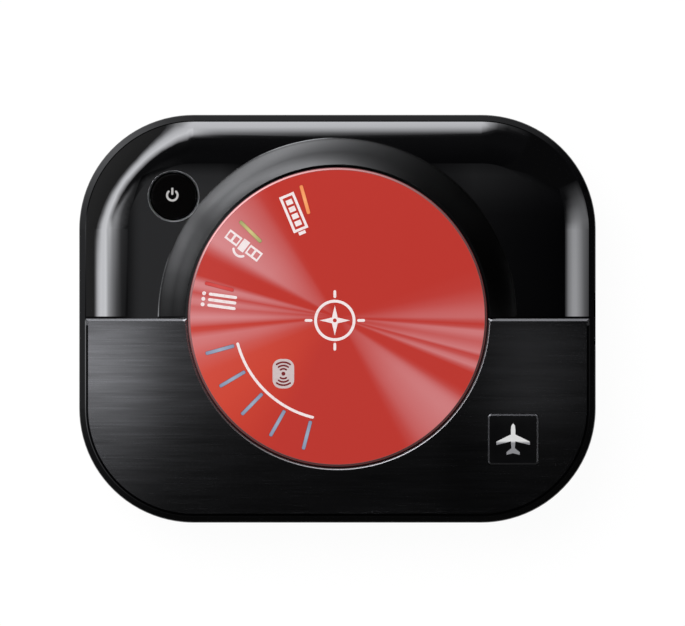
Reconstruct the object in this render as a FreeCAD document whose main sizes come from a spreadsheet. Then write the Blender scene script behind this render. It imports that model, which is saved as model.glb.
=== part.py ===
"""Portable aviation GPS receiver, as a parametric FreeCAD document. Millimetres.

The receiver is a rounded puck that lies on its back. +Z points up out of the dial, +X to the right of the
dial and +Y to the edge beside the power button. The origin is the centre of the base, on the surface that
the receiver rests on. The upper half of the face (+Y) is a pillowed gloss shell, the lower half a flat
brushed plate, and a round dial lies in the middle of both.
"""

import FreeCAD, Part
import Sketcher
import math
import os
import re

doc = FreeCAD.newDocument("gps_receiver")

# ---------------------------------------------------------------------------------------- sizes

SIZES = [
    # outer body
    ("body_length", 79.0, "along X at the parting line"),
    ("body_width", 62.4, "along Y at the parting line"),
    ("corner_radius", 17.5, "corners in plan"),
    ("parting_height", 8.0, "where the two shells meet"),
    ("pillow_radius", 13.0, "roll of the gloss face towards its edge"),
    ("pillow_angle", 29.4, "slope in degrees where the roll meets the border"),
    ("border_width", 1.12, "plain rim around the face"),
    ("side_draft", 0.5, "draft of the side walls in degrees"),
    ("base_edge_radius", 3.0, "round between the sides and the base"),
    ("rim_bevel_width", 0.9, "bevel between the side walls and the border, in plan"),
    ("rim_bevel_height", 0.75, "the same bevel, in height"),
    ("rim_edge_radius", 0.3, "round where that bevel meets the side walls"),
    ("parting_chamfer", 0.3, "each half of the parting groove"),
    ("side_wall", 1.8, "thickness of the side walls"),
    ("top_wall", 1.5, "thickness of the face"),
    ("floor_wall", 1.6, "thickness of the base"),
    ("floor_radius", 1.5, "round inside the base"),
    ("lip_thickness", 0.8, "tongue between the shells"),
    ("lip_height", 1.0, "tongue above the parting line"),
    ("lip_clearance", 0.1, "between tongue and rebate"),
    ("split_gap", 0.35, "shadow gap between gloss face and plate"),
    ("split_depth", 0.8, "depth of that gap"),
    # dial and the ramp around it
    ("disc_radius", 22.85, "dial"),
    ("disc_thickness", 1.0, "dial"),
    ("disc_gap", 0.4, "shadow gap around the dial"),
    ("disc_chamfer", 0.35, "edge of the dial, in plan"),
    ("disc_chamfer_height", 0.25, "the same edge, in height"),
    ("disc_proud", 0.15, "dial above its surround"),
    ("dial_above_split", 0.25, "centre of the dial, along Y from the middle of the body"),
    ("ramp_foot", 27.4, "foot of the ramp around the dial"),
    ("ramp_slope", 20.0, "slope of the ramp at its foot in degrees"),
    ("ramp_curve", 16.0, "rounding of the ramp in section"),
    ("tape_thickness", 0.12, "adhesive films"),
    ("dial_tape_width", 1.2, "ring of adhesive under the dial"),
    ("dial_tape_margin", 0.35, "from the rim of the dial to its adhesive"),
    # brushed plate and nameplate
    ("plate_thickness", 0.8, "brushed plate"),
    ("plate_chamfer", 0.35, "bright edge of the plate, in plan"),
    ("plate_chamfer_height", 0.25, "the same edge, in height"),
    ("arc_gap", 0.12, "between the dial and the plate"),
    ("plate_tape_margin", 1.2, "adhesive set back from the edge of the plate"),
    ("badge_size", 7.7, "nameplate, square"),
    ("badge_radius", 0.6, "corners of the nameplate"),
    ("badge_from_side", 12.7, "centre of the nameplate, from the widest point of the side"),
    ("badge_from_front", 12.8, "centre of the nameplate, from the front edge"),
    ("badge_proud", 0.2, "nameplate above the plate"),
    ("badge_chamfer", 0.25, "edge of the nameplate, in plan"),
    ("badge_chamfer_height", 0.18, "the same edge, in height"),
    ("badge_clearance", 0.08, "around the nameplate"),
    # indicators
    ("indicator_radius", 18.6, "centre of each light bar, from the dial's centre"),
    ("indicator_length", 4.5, "light bar, radially"),
    ("indicator_width", 0.5, "light bar, across"),
    ("indicator_corner", 0.2, "corners of a light bar"),
    ("indicator_clearance", 0.04, "around a light bar"),
    ("status_angle", 105.5, "first status light, in degrees about the dial from +X"),
    ("status_pitch", 30.0, "between status lights in degrees"),
    ("link_angle", 195.5, "first link light in degrees"),
    ("link_pitch", 15.0, "between link lights in degrees"),
    ("indicator_proud", 0.03, "light bar above the dial"),
    ("pipe_flange_length", 5.6, "foot of a light pipe"),
    ("pipe_flange_width", 1.8, "foot of a light pipe"),
    ("pipe_flange_thickness", 0.8, "foot of a light pipe"),
    ("led_length", 2.0, "light-emitting diode"),
    ("led_width", 1.25, "light-emitting diode"),
    ("led_height", 0.8, "light-emitting diode"),
    ("led_clearance", 0.2, "between a diode and its light pipe"),
    # power button and its switch
    ("button_from_side", 14.5, "centre of the button, from the left side"),
    ("button_from_back", 12.5, "centre of the button, from the back edge"),
    ("button_radius", 3.45, "button cap"),
    ("button_clearance", 0.2, "around the cap"),
    ("button_edge", 0.25, "round on the cap and chamfer on its hole"),
    ("button_proud", 0.1, "cap above the face"),
    ("button_flange", 0.9, "flange beyond the cap"),
    ("button_flange_thickness", 0.8, "flange"),
    ("button_float", 0.1, "between flange and shell"),
    ("switch_size", 6.0, "push switch, square"),
    ("switch_height", 3.3, "housing of the push switch"),
    ("switch_wall", 0.7, "walls of the push switch"),
    ("plunger_radius", 1.7, "plunger of the push switch"),
    ("plunger_clearance", 0.05, "around the plunger"),
    ("plunger_foot", 0.3, "foot of the plunger beyond its stem"),
    ("dome_thickness", 0.12, "snap dome"),
    ("dome_rise", 0.6, "snap dome"),
    ("switch_travel", 0.25, "of plunger and button"),
    # circuit board and what it carries
    ("board_gap", 0.5, "circuit board above the battery bay"),
    ("board_thickness", 1.0, "circuit board"),
    ("board_inset", 2.5, "circuit board from the outside of the body"),
    ("board_notch", 0.5, "clearance of the board around the screw posts"),
    ("antenna_size", 25.0, "patch antenna, square"),
    ("antenna_height", 4.0, "patch antenna"),
    ("antenna_offset", 4.0, "patch antenna along X"),
    ("antenna_headroom", 0.7, "between the antenna and the shell"),
    ("electrode_size", 21.0, "silver patch"),
    ("electrode_thickness", 0.08, "silver patch"),
    ("feed_radius", 0.7, "solder bead of the antenna's feed pin"),
    ("feed_height", 0.25, "solder bead"),
    ("feed_offset", 2.0, "feed pin from the middle of the patch"),
    ("receiver_offset", 6.0, "shield can of the satellite receiver along X"),
    ("receiver_length", 16.0, "shield can of the satellite receiver"),
    ("receiver_height", 2.4, "shield can of the satellite receiver"),
    ("receiver_gap", 2.1, "shield can from the antenna"),
    ("receiver_margin", 2.5, "shield can from the edge of the board"),
    ("receiver_chip_length", 9.0, "receiver chip under the can"),
    ("receiver_chip_width", 7.0, "receiver chip under the can"),
    ("receiver_chip_height", 1.1, "receiver chip under the can"),
    ("can_wall", 0.3, "sheet of the shield cans"),
    ("can_radius", 0.8, "corners of the shield cans"),
    ("vent_radius", 0.5, "vent holes of the shield cans"),
    ("radio_antenna_margin", 0.6, "chip antenna from the edge of its board"),
    ("radio_can_margin", 0.5, "shield can from the edge of its board"),
    ("radio_can_length", 7.2, "shield can of the radio module"),
    ("radio_can_height", 1.6, "shield can of the radio module"),
    ("radio_antenna_length", 1.6, "chip antenna of the radio module"),
    ("radio_antenna_width", 7.0, "chip antenna of the radio module"),
    ("radio_antenna_height", 1.2, "chip antenna of the radio module"),
    ("socket_length", 5.6, "USB socket, front to back"),
    ("socket_width", 7.5, "USB socket"),
    ("socket_height", 2.6, "USB socket"),
    ("socket_sheet", 0.3, "USB socket shell"),
    ("socket_setback", 1.2, "front of the socket from the outside of the body"),
    ("tongue_width", 4.0, "tongue of the socket"),
    ("tongue_thickness", 0.6, "tongue of the socket"),
    ("tongue_raise", 0.35, "tongue above the middle of the socket"),
    ("tongue_setback", 0.7, "tongue behind the front of the socket"),
    ("tongue_root", 1.2, "block at the back of the socket"),
    ("port_clearance", 0.3, "opening around the socket"),
    ("port_corner", 0.9, "corners of the opening"),
    ("port_recess", 1.1, "recess around the opening, wider than it on each side"),
    ("port_recess_depth", 0.7, "depth of that recess"),
    # screws
    ("screw_inset", 8.3, "case screws, from both edges of the body"),
    ("screw_radius", 1.0, "shank of a case screw"),
    ("screw_length", 9.0, "shank of a case screw"),
    ("screw_head_radius", 1.9, "case screw"),
    ("screw_head_height", 1.4, "case screw"),
    ("screw_sink", 1.0, "head of a case screw below the base"),
    ("cross_reach", 1.2, "arms of the cross recess, from the axis"),
    ("pilot_allowance", 0.4, "bore beyond the tip of a screw"),
    ("post_radius", 2.6, "screw post of the top shell"),
    ("pillar_radius", 3.3, "screw pillar of the bottom shell"),
    ("thread_clearance", 0.02, "screw shank in its post"),
    ("shank_clearance", 0.15, "screw shank in its pillar"),
    ("head_clearance", 0.25, "screw head in its counterbore"),
    ("post_gap", 0.1, "between post and pillar"),
    ("drive_width", 0.45, "arms of the cross recess"),
    ("drive_depth", 0.8, "cross recess"),
    ("board_screw_radius", 0.8, "board screw"),
    ("board_screw_length", 3.6, "board screw above the board"),
    ("board_screw_head_radius", 1.5, "board screw"),
    ("board_screw_head_height", 0.7, "board screw"),
    ("board_post_radius", 2.0, "post for a board screw"),
    # battery, its bay and its door
    ("battery_width", 34.0, "battery along X"),
    ("battery_thickness", 5.6, "battery"),
    ("battery_radius", 2.2, "corners of the battery in plan"),
    ("battery_edge", 1.0, "rounded long edges of the battery"),
    ("battery_front_room", 2.1, "from the front wall to the battery"),
    ("battery_back_room", 3.7, "from the back wall to the battery, for its contacts"),
    ("battery_cap_length", 4.0, "plastic end of the battery"),
    ("battery_clearance", 0.2, "around the battery"),
    ("bay_wall", 1.0, "walls of the battery bay"),
    ("bay_roof", 0.8, "roof of the battery bay"),
    ("door_recess", 0.1, "door above the base"),
    ("door_clearance", 0.15, "around the door"),
    ("door_overlap", 1.2, "door beyond the battery bay"),
    ("door_web", 0.9, "upright edge of the door that carries its rails"),
    ("rail_width", 1.0, "rail of the door beyond its plate"),
    ("rail_thickness", 0.8, "rail of the door"),
    ("channel_wall", 0.8, "channel of the base around the rails"),
    ("door_lip_height", 5.2, "upturned end of the door"),
    ("door_lip_thickness", 1.6, "upturned end of the door"),
    ("grip_count", 5, "grooves of the finger grip"),
    ("grip_length", 14.0, "grooves of the finger grip"),
    ("grip_width", 0.6, "grooves of the finger grip"),
    ("grip_pitch", 1.4, "grooves of the finger grip"),
    ("grip_depth", 0.35, "grooves of the finger grip"),
    ("grip_from_front", 6.0, "first groove from the front of the body"),
    ("label_length", 30.0, "bare label panel on the door"),
    ("label_width", 17.0, "bare label panel on the door"),
    ("label_depth", 0.15, "bare label panel on the door"),
    ("label_centre", 6.0, "label panel along Y"),
    # battery contacts
    ("contact_pitch", 4.0, "between battery contacts"),
    ("contact_centre", -9.5, "middle contact along X"),
    ("contact_width", 1.4, "leaf of a contact"),
    ("contact_sheet", 0.2, "leaf of a contact"),
    ("contact_radius", 1.1, "bend of a contact"),
    ("contact_height", 5.0, "middle of the contacts above the base"),
    ("contact_touch", 0.05, "between leaf and terminal"),
    ("terminal_width", 2.6, "battery terminal"),
    ("terminal_height", 3.2, "battery terminal"),
    ("terminal_thickness", 0.3, "battery terminal"),
    ("terminal_sink", 0.05, "battery terminal below the end of the battery"),
    ("block_width", 12.4, "contact block"),
    ("block_clearance", 0.1, "contact block from its neighbours"),
]

# What lies flat on the board. Each name becomes five sizes, such as memory_chip_along and memory_chip_high.
# A side of 1 or -1 says which edge of the body a place is measured inwards from, and 0 the middle.
CHIPS = [
    # name, side and distance along X, side and distance along Y, length, width, height
    ("radio_board", 0, 25.0, -1, 16.7, 11.0, 9.0, 0.6),
    ("processor_chip", 0, 6.5, -1, 10.6, 9.0, 9.0, 1.4),
    ("memory_chip", -1, 12.0, -1, 17.2, 6.0, 5.0, 1.5),
    ("charger_chip", 1, 11.0, 1, 22.2, 4.0, 4.0, 0.9),
    ("power_coil", 1, 13.0, 1, 15.7, 4.2, 4.2, 2.0),
    ("clock_crystal", -1, 12.0, -1, 25.7, 3.2, 2.5, 0.8),
]
for label, _, along, _, across, length, width, height in CHIPS:
    SIZES.append((f"{label}_along", along, "place along X"))
    SIZES.append((f"{label}_across", across, "place along Y"))
    SIZES.append((f"{label}_long", length, "length"))
    SIZES.append((f"{label}_wide", width, "width"))
    SIZES.append((f"{label}_high", height, "height"))

# The screws that hold the board to the top shell, placed in the same way.
BOARD_SCREWS = [("left", -1, 6.0, 0, 0.0), ("back", 0, 21.5, 1, 8.4), ("front", 0, -21.5, -1, 8.4)]
for label, _, along, _, across in BOARD_SCREWS:
    SIZES.append((f"board_screw_{label}_along", along, "place along X"))
    SIZES.append((f"board_screw_{label}_across", across, "place along Y"))

sheet = doc.addObject("Spreadsheet::Sheet", "Sizes")
for row, (alias, value, note) in enumerate(SIZES, 1):
    sheet.set(f"A{row}", alias)
    sheet.set(f"B{row}", str(value))
    sheet.set(f"C{row}", note)
    sheet.setAlias(f"B{row}", alias)
doc.recompute()

# Sizes that follow from the ones above. Each is an expression in them and in each other.
DERIVED = {
    # gloss face
    "crease_height": "plateau_height - pillow_radius * (1 - cos(pillow_angle))",
    "pillow_reach": "pillow_radius * (1 - sin(pillow_angle)) - border_width",
    "ceiling": "antenna_top + antenna_headroom",
    "plateau_height": "ceiling + top_wall",
    # ramp, dial and plate
    "seat_radius": "disc_radius + disc_gap",
    "arc_radius": "disc_radius + arc_gap",
    "ramp_middle": "ramp_foot - ramp_curve * sin(ramp_slope)",
    "ramp_below": "plateau_height - ramp_curve * cos(ramp_slope)",
    "seat_height": "ramp_below + sqrt(ramp_curve ^ 2 - (seat_radius - ramp_middle) ^ 2)",
    "disc_top": "seat_height + disc_proud",
    "disc_bottom": "disc_top - disc_thickness",
    "pocket_floor": "disc_bottom - tape_thickness",
    "plate_bottom": "seat_height - plate_thickness",
    "pedestal_top": "plate_bottom - tape_thickness",
    "badge_x": "body_length / 2 - badge_from_side",
    "badge_y": "badge_from_front - body_width / 2",
    # board
    "board_height": "bay_top + board_gap",
    "board_top": "board_height + board_thickness",
    "receiver_front": "antenna_size / 2 + receiver_gap",
    "receiver_back": "body_width / 2 - board_inset - receiver_margin",
    "pipe_bottom": "board_top + led_height + led_clearance",
    "flange_top": "ceiling - button_float",
    "flange_bottom": "flange_top - button_flange_thickness",
    "antenna_top": "board_top + antenna_height",
    "switch_top": "board_top + switch_height",
    "dome_seat": "board_top + switch_wall",
    "plunger_bottom": "dome_seat + dome_rise + switch_travel + plunger_clearance",
    "plunger_shoulder": "switch_top - switch_wall - plunger_clearance",
    "socket_front": "body_length / 2 - socket_setback",
    "socket_level": "board_top + socket_height / 2",
    # screws
    "post_bottom": "parting_height + post_gap",
    "head_seat": "screw_sink + screw_head_height",
    # battery bay
    "battery_bottom": "floor_wall + door_recess + battery_clearance",
    "battery_top": "battery_bottom + battery_thickness",
    "battery_front": "side_wall + battery_front_room - body_width / 2",
    "battery_back": "body_width / 2 - side_wall - battery_back_room",
    "bay_half_width": "battery_width / 2 + battery_clearance",
    "bay_front": "battery_front - battery_clearance",
    "bay_back": "battery_back + battery_clearance",
    "bay_ceiling": "battery_top + battery_clearance",
    "bay_top": "bay_ceiling + bay_roof",
    "door_top": "floor_wall + door_recess - door_clearance",
    "door_half_width": "bay_half_width + bay_wall + 2 * door_clearance + door_web",
    "door_end": "bay_back + bay_wall + door_overlap",
    "door_front": "door_lip_thickness - body_width / 2",
    "rail_bottom": "floor_wall + door_clearance",
    "rail_top": "rail_bottom + rail_thickness",
    "rail_half_width": "door_half_width + rail_width",
    "channel_top": "rail_top + door_clearance + channel_wall",
    "terminal_face": "battery_back - terminal_sink",
    "leaf_nose": "terminal_face + contact_touch",
    "leaf_axis": "leaf_nose + contact_radius",
    "block_front": "bay_back + bay_wall + block_clearance",
    "block_back": "body_width / 2 - side_wall - block_clearance",
}
ALIASES = {alias for alias, _, _ in SIZES}


def formula(text):
    """A FreeCAD expression from one in the names above."""
    def look_up(match):
        word = match.group(0)
        if word in DERIVED:
            return "(" + formula(DERIVED[word]) + ")"
        return "Sizes." + word if word in ALIASES else word

    return re.sub(r"[a-z][a-z_]*", look_up, str(text))


# -------------------------------------------------------------------------------------- helpers


def bind(thing, **expressions):
    """Ties each property of thing to an expression. Two underscores stand for a dot."""
    for name, text in expressions.items():
        thing.setExpression(name.replace("__", "."), formula(text))
    return thing


def place(thing, x=0, y=0, z=0, turn=None):
    """Ties the place of thing, and its turn about Z in degrees, to expressions."""
    bind(thing, Placement__Base__x=x, Placement__Base__y=y, Placement__Base__z=z)
    if turn is not None:
        thing.Placement.Rotation = FreeCAD.Rotation(FreeCAD.Vector(0, 0, 1), 1)
        bind(thing, Placement__Rotation__Angle=turn)
    return thing


def box(name, x, y, z):
    """A box between the two expressions given for each axis."""
    made = doc.addObject("Part::Box", name)
    bind(made, Length=f"({x[1]}) - ({x[0]})", Width=f"({y[1]}) - ({y[0]})", Height=f"({z[1]}) - ({z[0]})")
    return place(made, x[0], y[0], z[0])


def around(middle, width):
    """The two ends of a width about a middle."""
    return f"{middle} - ({width}) / 2", f"{middle} + ({width}) / 2"


def centred_box(name, middle, length, width, z, turn=None):
    """A box around a middle (x, y), between two heights, turned about the upright in its middle."""
    x, y = middle
    if turn is None:
        return box(name, around(x, length), around(y, width), z)
    made = doc.addObject("Part::Box", name)
    bind(made, Length=length, Width=width, Height=f"({z[1]}) - ({z[0]})")
    corner_x = f"{x} - ({length}) / 2 * cos({turn}) + ({width}) / 2 * sin({turn})"
    corner_y = f"{y} - ({length}) / 2 * sin({turn}) - ({width}) / 2 * cos({turn})"
    return place(made, corner_x, corner_y, z[0], turn)


def cylinder(name, radius, z, x=0, y=0):
    """An upright cylinder between two heights."""
    made = doc.addObject("Part::Cylinder", name)
    bind(made, Radius=radius, Height=f"({z[1]}) - ({z[0]})")
    return place(made, x, y, z[0])


def cone(name, bottom_radius, top_radius, z, x=0, y=0):
    """An upright cone between two heights."""
    made = doc.addObject("Part::Cone", name)
    bind(made, Radius1=bottom_radius, Radius2=top_radius, Height=f"({z[1]}) - ({z[0]})")
    return place(made, x, y, z[0])


def cut(name, base, *tools):
    """Base less every tool."""
    made = doc.addObject("Part::Cut", name)
    made.Base = base
    made.Tool = tools[0] if len(tools) == 1 else fuse(name + "_tools", *tools)
    made.Refine = True
    return made


def fuse(name, *pieces):
    """All pieces as one."""
    made = doc.addObject("Part::MultiFuse", name)
    made.Shapes = list(pieces)
    made.Refine = True
    return made


def group(name, *pieces):
    """Pieces that stay separate solids under one name."""
    made = doc.addObject("Part::Compound", name)
    made.Links = list(pieces)
    return made


def common(name, *pieces):
    """What all pieces share."""
    made = doc.addObject("Part::MultiCommon", name)
    made.Shapes = list(pieces)
    made.Refine = True
    return made


def sketch_on(body, height=0):
    """An empty sketch of body, parallel to its XY plane at a height."""
    made = body.newObject("Sketcher::SketchObject", body.Name + "_sketch")
    plane = next(f for f in body.Origin.OriginFeatures if f.Role == "XY_Plane")
    made.AttachmentSupport = (plane, "")
    made.MapMode = "FlatFace"
    made.setExpression("AttachmentOffset.Base.z", formula(height))
    return made


def draw_rounded_rectangle(sketch, length, width, radius):
    """A rounded rectangle about the sketch's origin, with its three sizes tied to expressions."""
    vector = FreeCAD.Vector
    across, deep, round_ = 5.0, 4.0, 1.0
    corners = [(1, -1, -90, 0), (1, 1, 0, 90), (-1, 1, 90, 180), (-1, -1, 180, 270)]
    lines = [
        (vector(round_ - across, -deep), vector(across - round_, -deep)),
        (vector(across, round_ - deep), vector(across, deep - round_)),
        (vector(across - round_, deep), vector(round_ - across, deep)),
        (vector(-across, deep - round_), vector(-across, round_ - deep)),
    ]
    for (start, end), (side_x, side_y, first, last) in zip(lines, corners):
        centre = vector(side_x * (across - round_), side_y * (deep - round_))
        circle = Part.Circle(centre, vector(0, 0, 1), round_)
        sketch.addGeometry(Part.LineSegment(start, end))
        sketch.addGeometry(Part.ArcOfCircle(circle, math.radians(first), math.radians(last)))
    add = sketch.addConstraint
    for line in range(4):
        here, corner, beyond = 2 * line, 2 * line + 1, (2 * line + 2) % 8
        add(Sketcher.Constraint("Tangent", here, 2, corner, 1))
        add(Sketcher.Constraint("Tangent", corner, 2, beyond, 1))
        add(Sketcher.Constraint("Horizontal" if line % 2 == 0 else "Vertical", here))
    for corner in (3, 5, 7):
        add(Sketcher.Constraint("Equal", 1, corner))
    add(Sketcher.Constraint("Symmetric", 1, 3, 5, 3, -1, 1))
    named = [
        ("along", Sketcher.Constraint("DistanceX", 6, 1, 2, 1, 2 * across), length),
        ("across", Sketcher.Constraint("DistanceY", 0, 1, 4, 1, 2 * deep), width),
        ("corner", Sketcher.Constraint("Radius", 1, round_), radius),
    ]
    for name, constraint, _ in named:
        sketch.renameConstraint(add(constraint), name)
    for name, _, text in named:
        sketch.setExpression("Constraints." + name, formula(text))


def rounded_block(name, length, width, radius, z, draft=0, down=False):
    """A body holding one pad of a rounded rectangle between two heights.

    A draft narrows it away from its sketch, which lies at the lower height, or at the upper one if down."""
    body = doc.addObject("PartDesign::Body", name)
    sketch = sketch_on(body, z[1] if down else z[0])
    draw_rounded_rectangle(sketch, length, width, radius)
    pad = body.newObject("PartDesign::Pad", name + "_pad")
    pad.Profile = sketch
    pad.Reversed = down
    bind(pad, Length=f"({z[1]}) - ({z[0]})")
    if draft:
        bind(pad, TaperAngle=f"-({draft})")
    sketch.Visibility = False
    doc.recompute()
    return body


def rim_edges(shape, top=True, step=0, within=1e-4):
    """Names of the edges that lie in the highest or lowest level plane of a shape, or step planes from it."""
    flat = {}
    for number, edge in enumerate(shape.Edges, 1):
        box_ = edge.BoundBox
        if box_.ZLength < within:
            flat[f"Edge{number}"] = round(box_.ZMin, 3)
    levels = sorted(set(flat.values()), reverse=top)
    return [name for name, level in flat.items() if level == levels[step]]


def dress(body, kind, size, top=True, step=0, down=None):
    """Adds a Fillet or Chamfer of a bound size to the top or bottom edges of a body, or to those step planes
    from there. A chamfer reaches as far down the side as along the top, unless down says how far."""
    base = body.Tip
    names = rim_edges(base.Shape, top, step)
    made = body.newObject("PartDesign::" + kind, f"{body.Name}_{kind.lower()}")
    made.Base = (base, names)
    if down:
        made.ChamferType = "Two distances"
        bind(made, Size=down, Size2=size)
    else:
        bind(made, **{"Radius" if kind == "Fillet" else "Size": size})
    doc.recompute()
    return body


def ring(name, outer, inner, z, x=0, y=0):
    """A tube between two heights."""
    return cut(name, cylinder(name + "_outside", outer, z, x, y), cylinder(name + "_bore", inner, z, x, y))


NODES = []


def node(thing, label):
    """Marks thing as a sub-part: its label names its file."""
    thing.Label = label
    NODES.append(thing)
    return thing


CASE_SCREWS = [(side_x, side_y) for side_x in (-1, 1) for side_y in (-1, 1)]
LIGHTS = [(name, f"(status_angle + {n} * status_pitch)") for n, name in enumerate(["battery", "fix", "log"])]
LIGHTS += [(f"link_{n + 1}", f"(link_angle + {n} * link_pitch)") for n in range(5)]
BUTTON_X, BUTTON_Y = "button_from_side - body_length / 2", "body_width / 2 - button_from_back"
FAR = "body_length"
ALL = ("-body_length", "body_length")


def at_screw(side_x, side_y):
    """Place of a case screw."""
    return f"{side_x} * (body_length / 2 - screw_inset)", f"{side_y} * (body_width / 2 - screw_inset)"


def from_sides(label, side_x, side_y):
    """Place of what is measured from a side of the body, or from its middle where the side is 0."""
    x = f"{side_x} * (body_length / 2 - {label}_along)" if side_x else f"{label}_along"
    y = f"{side_y} * (body_width / 2 - {label}_across)" if side_y else f"{label}_across"
    return x, y


AT_BOARD_SCREW = {}
for label, side_x, _, side_y, _ in BOARD_SCREWS:
    AT_BOARD_SCREW[label] = from_sides(f"board_screw_{label}", side_x, side_y)


def at_light(angle):
    """Place of a light bar."""
    return f"indicator_radius * cos({angle})", f"dial_above_split + indicator_radius * sin({angle})"


def light_bar(name, angle, grow, z):
    """A round-ended bar on the dial's circle of indicators, grown on every side."""
    width = f"indicator_width + 2 * ({grow})"
    bar = rounded_block(name, f"indicator_length + 2 * ({grow})", width, f"indicator_corner + ({grow})", z)
    x, y = at_light(angle)
    return place(bar, x, y, 0, angle)


# ------------------------------------------------------------------------------------ top shell


def outline(name, inset, z, **more):
    """The body's outline in plan, set in from the outside, between two heights."""
    length, width = f"body_length - 2 * ({inset})", f"body_width - 2 * ({inset})"
    return rounded_block(name, length, width, f"corner_radius - ({inset})", z, **more)


def upper_half(name, z):
    """Everything beyond the shadow gap, between two heights."""
    return box(name, ALL, ("split_gap", FAR), z)


def lower_half(name, z):
    """Everything on the plate's side of the shadow gap, between two heights."""
    return box(name, ALL, (f"-{FAR}", "split_gap"), z)


def pillow(name, shrink):
    """The rolled form of the gloss face, shrunk by a wall on every side. It reaches beyond the border, which
    cuts it where its slope is pillow_angle."""
    top = f"plateau_height - ({shrink})"
    made = outline(name, f"({shrink}) - pillow_reach", (f"{top} - pillow_radius - 1", top))
    return dress(made, "Fillet", f"pillow_radius - ({shrink})")


def top_shell_outside():
    """The solid form of the top shell: rim, pillow, ramp and the pedestal under the plate."""
    rim = outline("rim", 0, ("parting_height", "crease_height"), draft="side_draft")
    dress(rim, "Chamfer", "rim_bevel_width", down="rim_bevel_height")
    dress(rim, "Fillet", "rim_edge_radius", step=1)
    dress(rim, "Chamfer", "parting_chamfer", top=False)
    inside_border = outline("face_block", "border_width", ("parting_height", "plateau_height"))
    face = common("face", pillow("face_pillow", 0), inside_border, upper_half("face_half", ("0", FAR)))
    pedestal_block = outline("pedestal_block", "border_width", ("parting_height", "pedestal_top"))
    pedestal = common("pedestal", pedestal_block, lower_half("pedestal_half", ("0", FAR)))
    bulge = doc.addObject("Part::Torus", "ramp_bulge")
    bind(bulge, Radius1="ramp_middle", Radius2="ramp_curve")
    place(bulge, 0, "dial_above_split", "ramp_below")
    zone = cylinder("ramp_zone", "ramp_foot", ("ceiling", FAR), 0, "dial_above_split")
    ramp = common("ramp", bulge, zone, upper_half("ramp_half", ("ceiling", FAR)))
    return fuse("top_outside", rim, face, pedestal, ramp)


def top_shell_cavity():
    """The hollow of the top shell, less the posts that stand in it."""
    roof = pillow("cavity_roof", "top_wall")
    walls = outline("cavity_walls", "side_wall", ("parting_height - 1", "plateau_height"))
    hollow = common("top_hollow", roof, walls)
    posts = []
    for number, (side_x, side_y) in enumerate(CASE_SCREWS):
        x, y = at_screw(side_x, side_y)
        posts.append(cylinder(f"post_{number}", "post_radius", ("post_bottom", FAR), x, y))
    for name, (x, y) in AT_BOARD_SCREW.items():
        posts.append(cylinder(f"board_post_{name}", "board_post_radius", ("board_top", FAR), x, y))
    rebate = outline(
        "lip_rebate", "side_wall - lip_thickness - lip_clearance",
        ("parting_height - 1", "parting_height + lip_height + lip_clearance"),
    )
    case_posts = posts[:len(CASE_SCREWS)]
    rebate = cut("rebate_with_posts", rebate, *case_posts)
    return fuse("top_cavity", cut("hollow_with_posts", hollow, *posts), rebate)


def port_opening():
    """The way in to the USB socket: an opening as wide as the socket and a shallow recess around it."""
    made = []
    dish_start = "body_length / 2 - port_recess_depth"
    steps = [
        ("port_through", "port_clearance", "port_corner", "body_length / 2 - side_wall - 1"),
        ("port_dish", "port_clearance + port_recess", "port_corner + port_recess", dish_start),
    ]
    for name, wider, corner, start in steps:
        height, width = f"socket_height + 2 * ({wider})", f"socket_width + 2 * ({wider})"
        block = rounded_block(name, height, width, corner, ("0", "side_wall + 2"))
        place(block, start, 0, "socket_level")
        block.Placement.Rotation = FreeCAD.Rotation(FreeCAD.Vector(0, 1, 0), 90)
        made.append(block)
    return made


def make_top_shell():
    """Gloss upper casing, with its posts, pocket, slots and openings."""
    holes = [cylinder("dial_pocket", "seat_radius", ("pocket_floor", FAR), 0, "dial_above_split")]
    for name, angle in LIGHTS:
        holes.append(light_bar(f"slot_{name}", angle, "indicator_clearance", ("ceiling - 2", FAR)))
    bore = "button_radius + button_clearance"
    holes.append(cylinder("button_hole", bore, ("ceiling - 1", FAR), BUTTON_X, BUTTON_Y))
    edge_z = ("plateau_height - button_edge", "plateau_height + button_edge")
    holes.append(cone("button_hole_edge", bore, f"{bore} + 2 * button_edge", edge_z, BUTTON_X, BUTTON_Y))
    for number, (side_x, side_y) in enumerate(CASE_SCREWS):
        x, y = at_screw(side_x, side_y)
        depth = ("parting_height - 1", "head_seat + screw_length + pilot_allowance")
        holes.append(cylinder(f"pilot_{number}", "screw_radius + thread_clearance", depth, x, y))
    for name, (x, y) in AT_BOARD_SCREW.items():
        depth = ("board_top - 1", "board_top + board_screw_length + pilot_allowance")
        holes.append(cylinder(f"board_pilot_{name}", "board_screw_radius + thread_clearance", depth, x, y))
    inside_border = around("0", "body_length - 2 * border_width")
    holes.append(box("shadow_gap", inside_border, ("0", "split_gap"), ("plateau_height - split_depth", FAR)))
    hollowed = cut("top_hollowed", top_shell_outside(), top_shell_cavity())
    return node(cut("top_shell", hollowed, *holes, *port_opening()), "top_shell")


# --------------------------------------------------------------------------- dial, plate, badge


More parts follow.
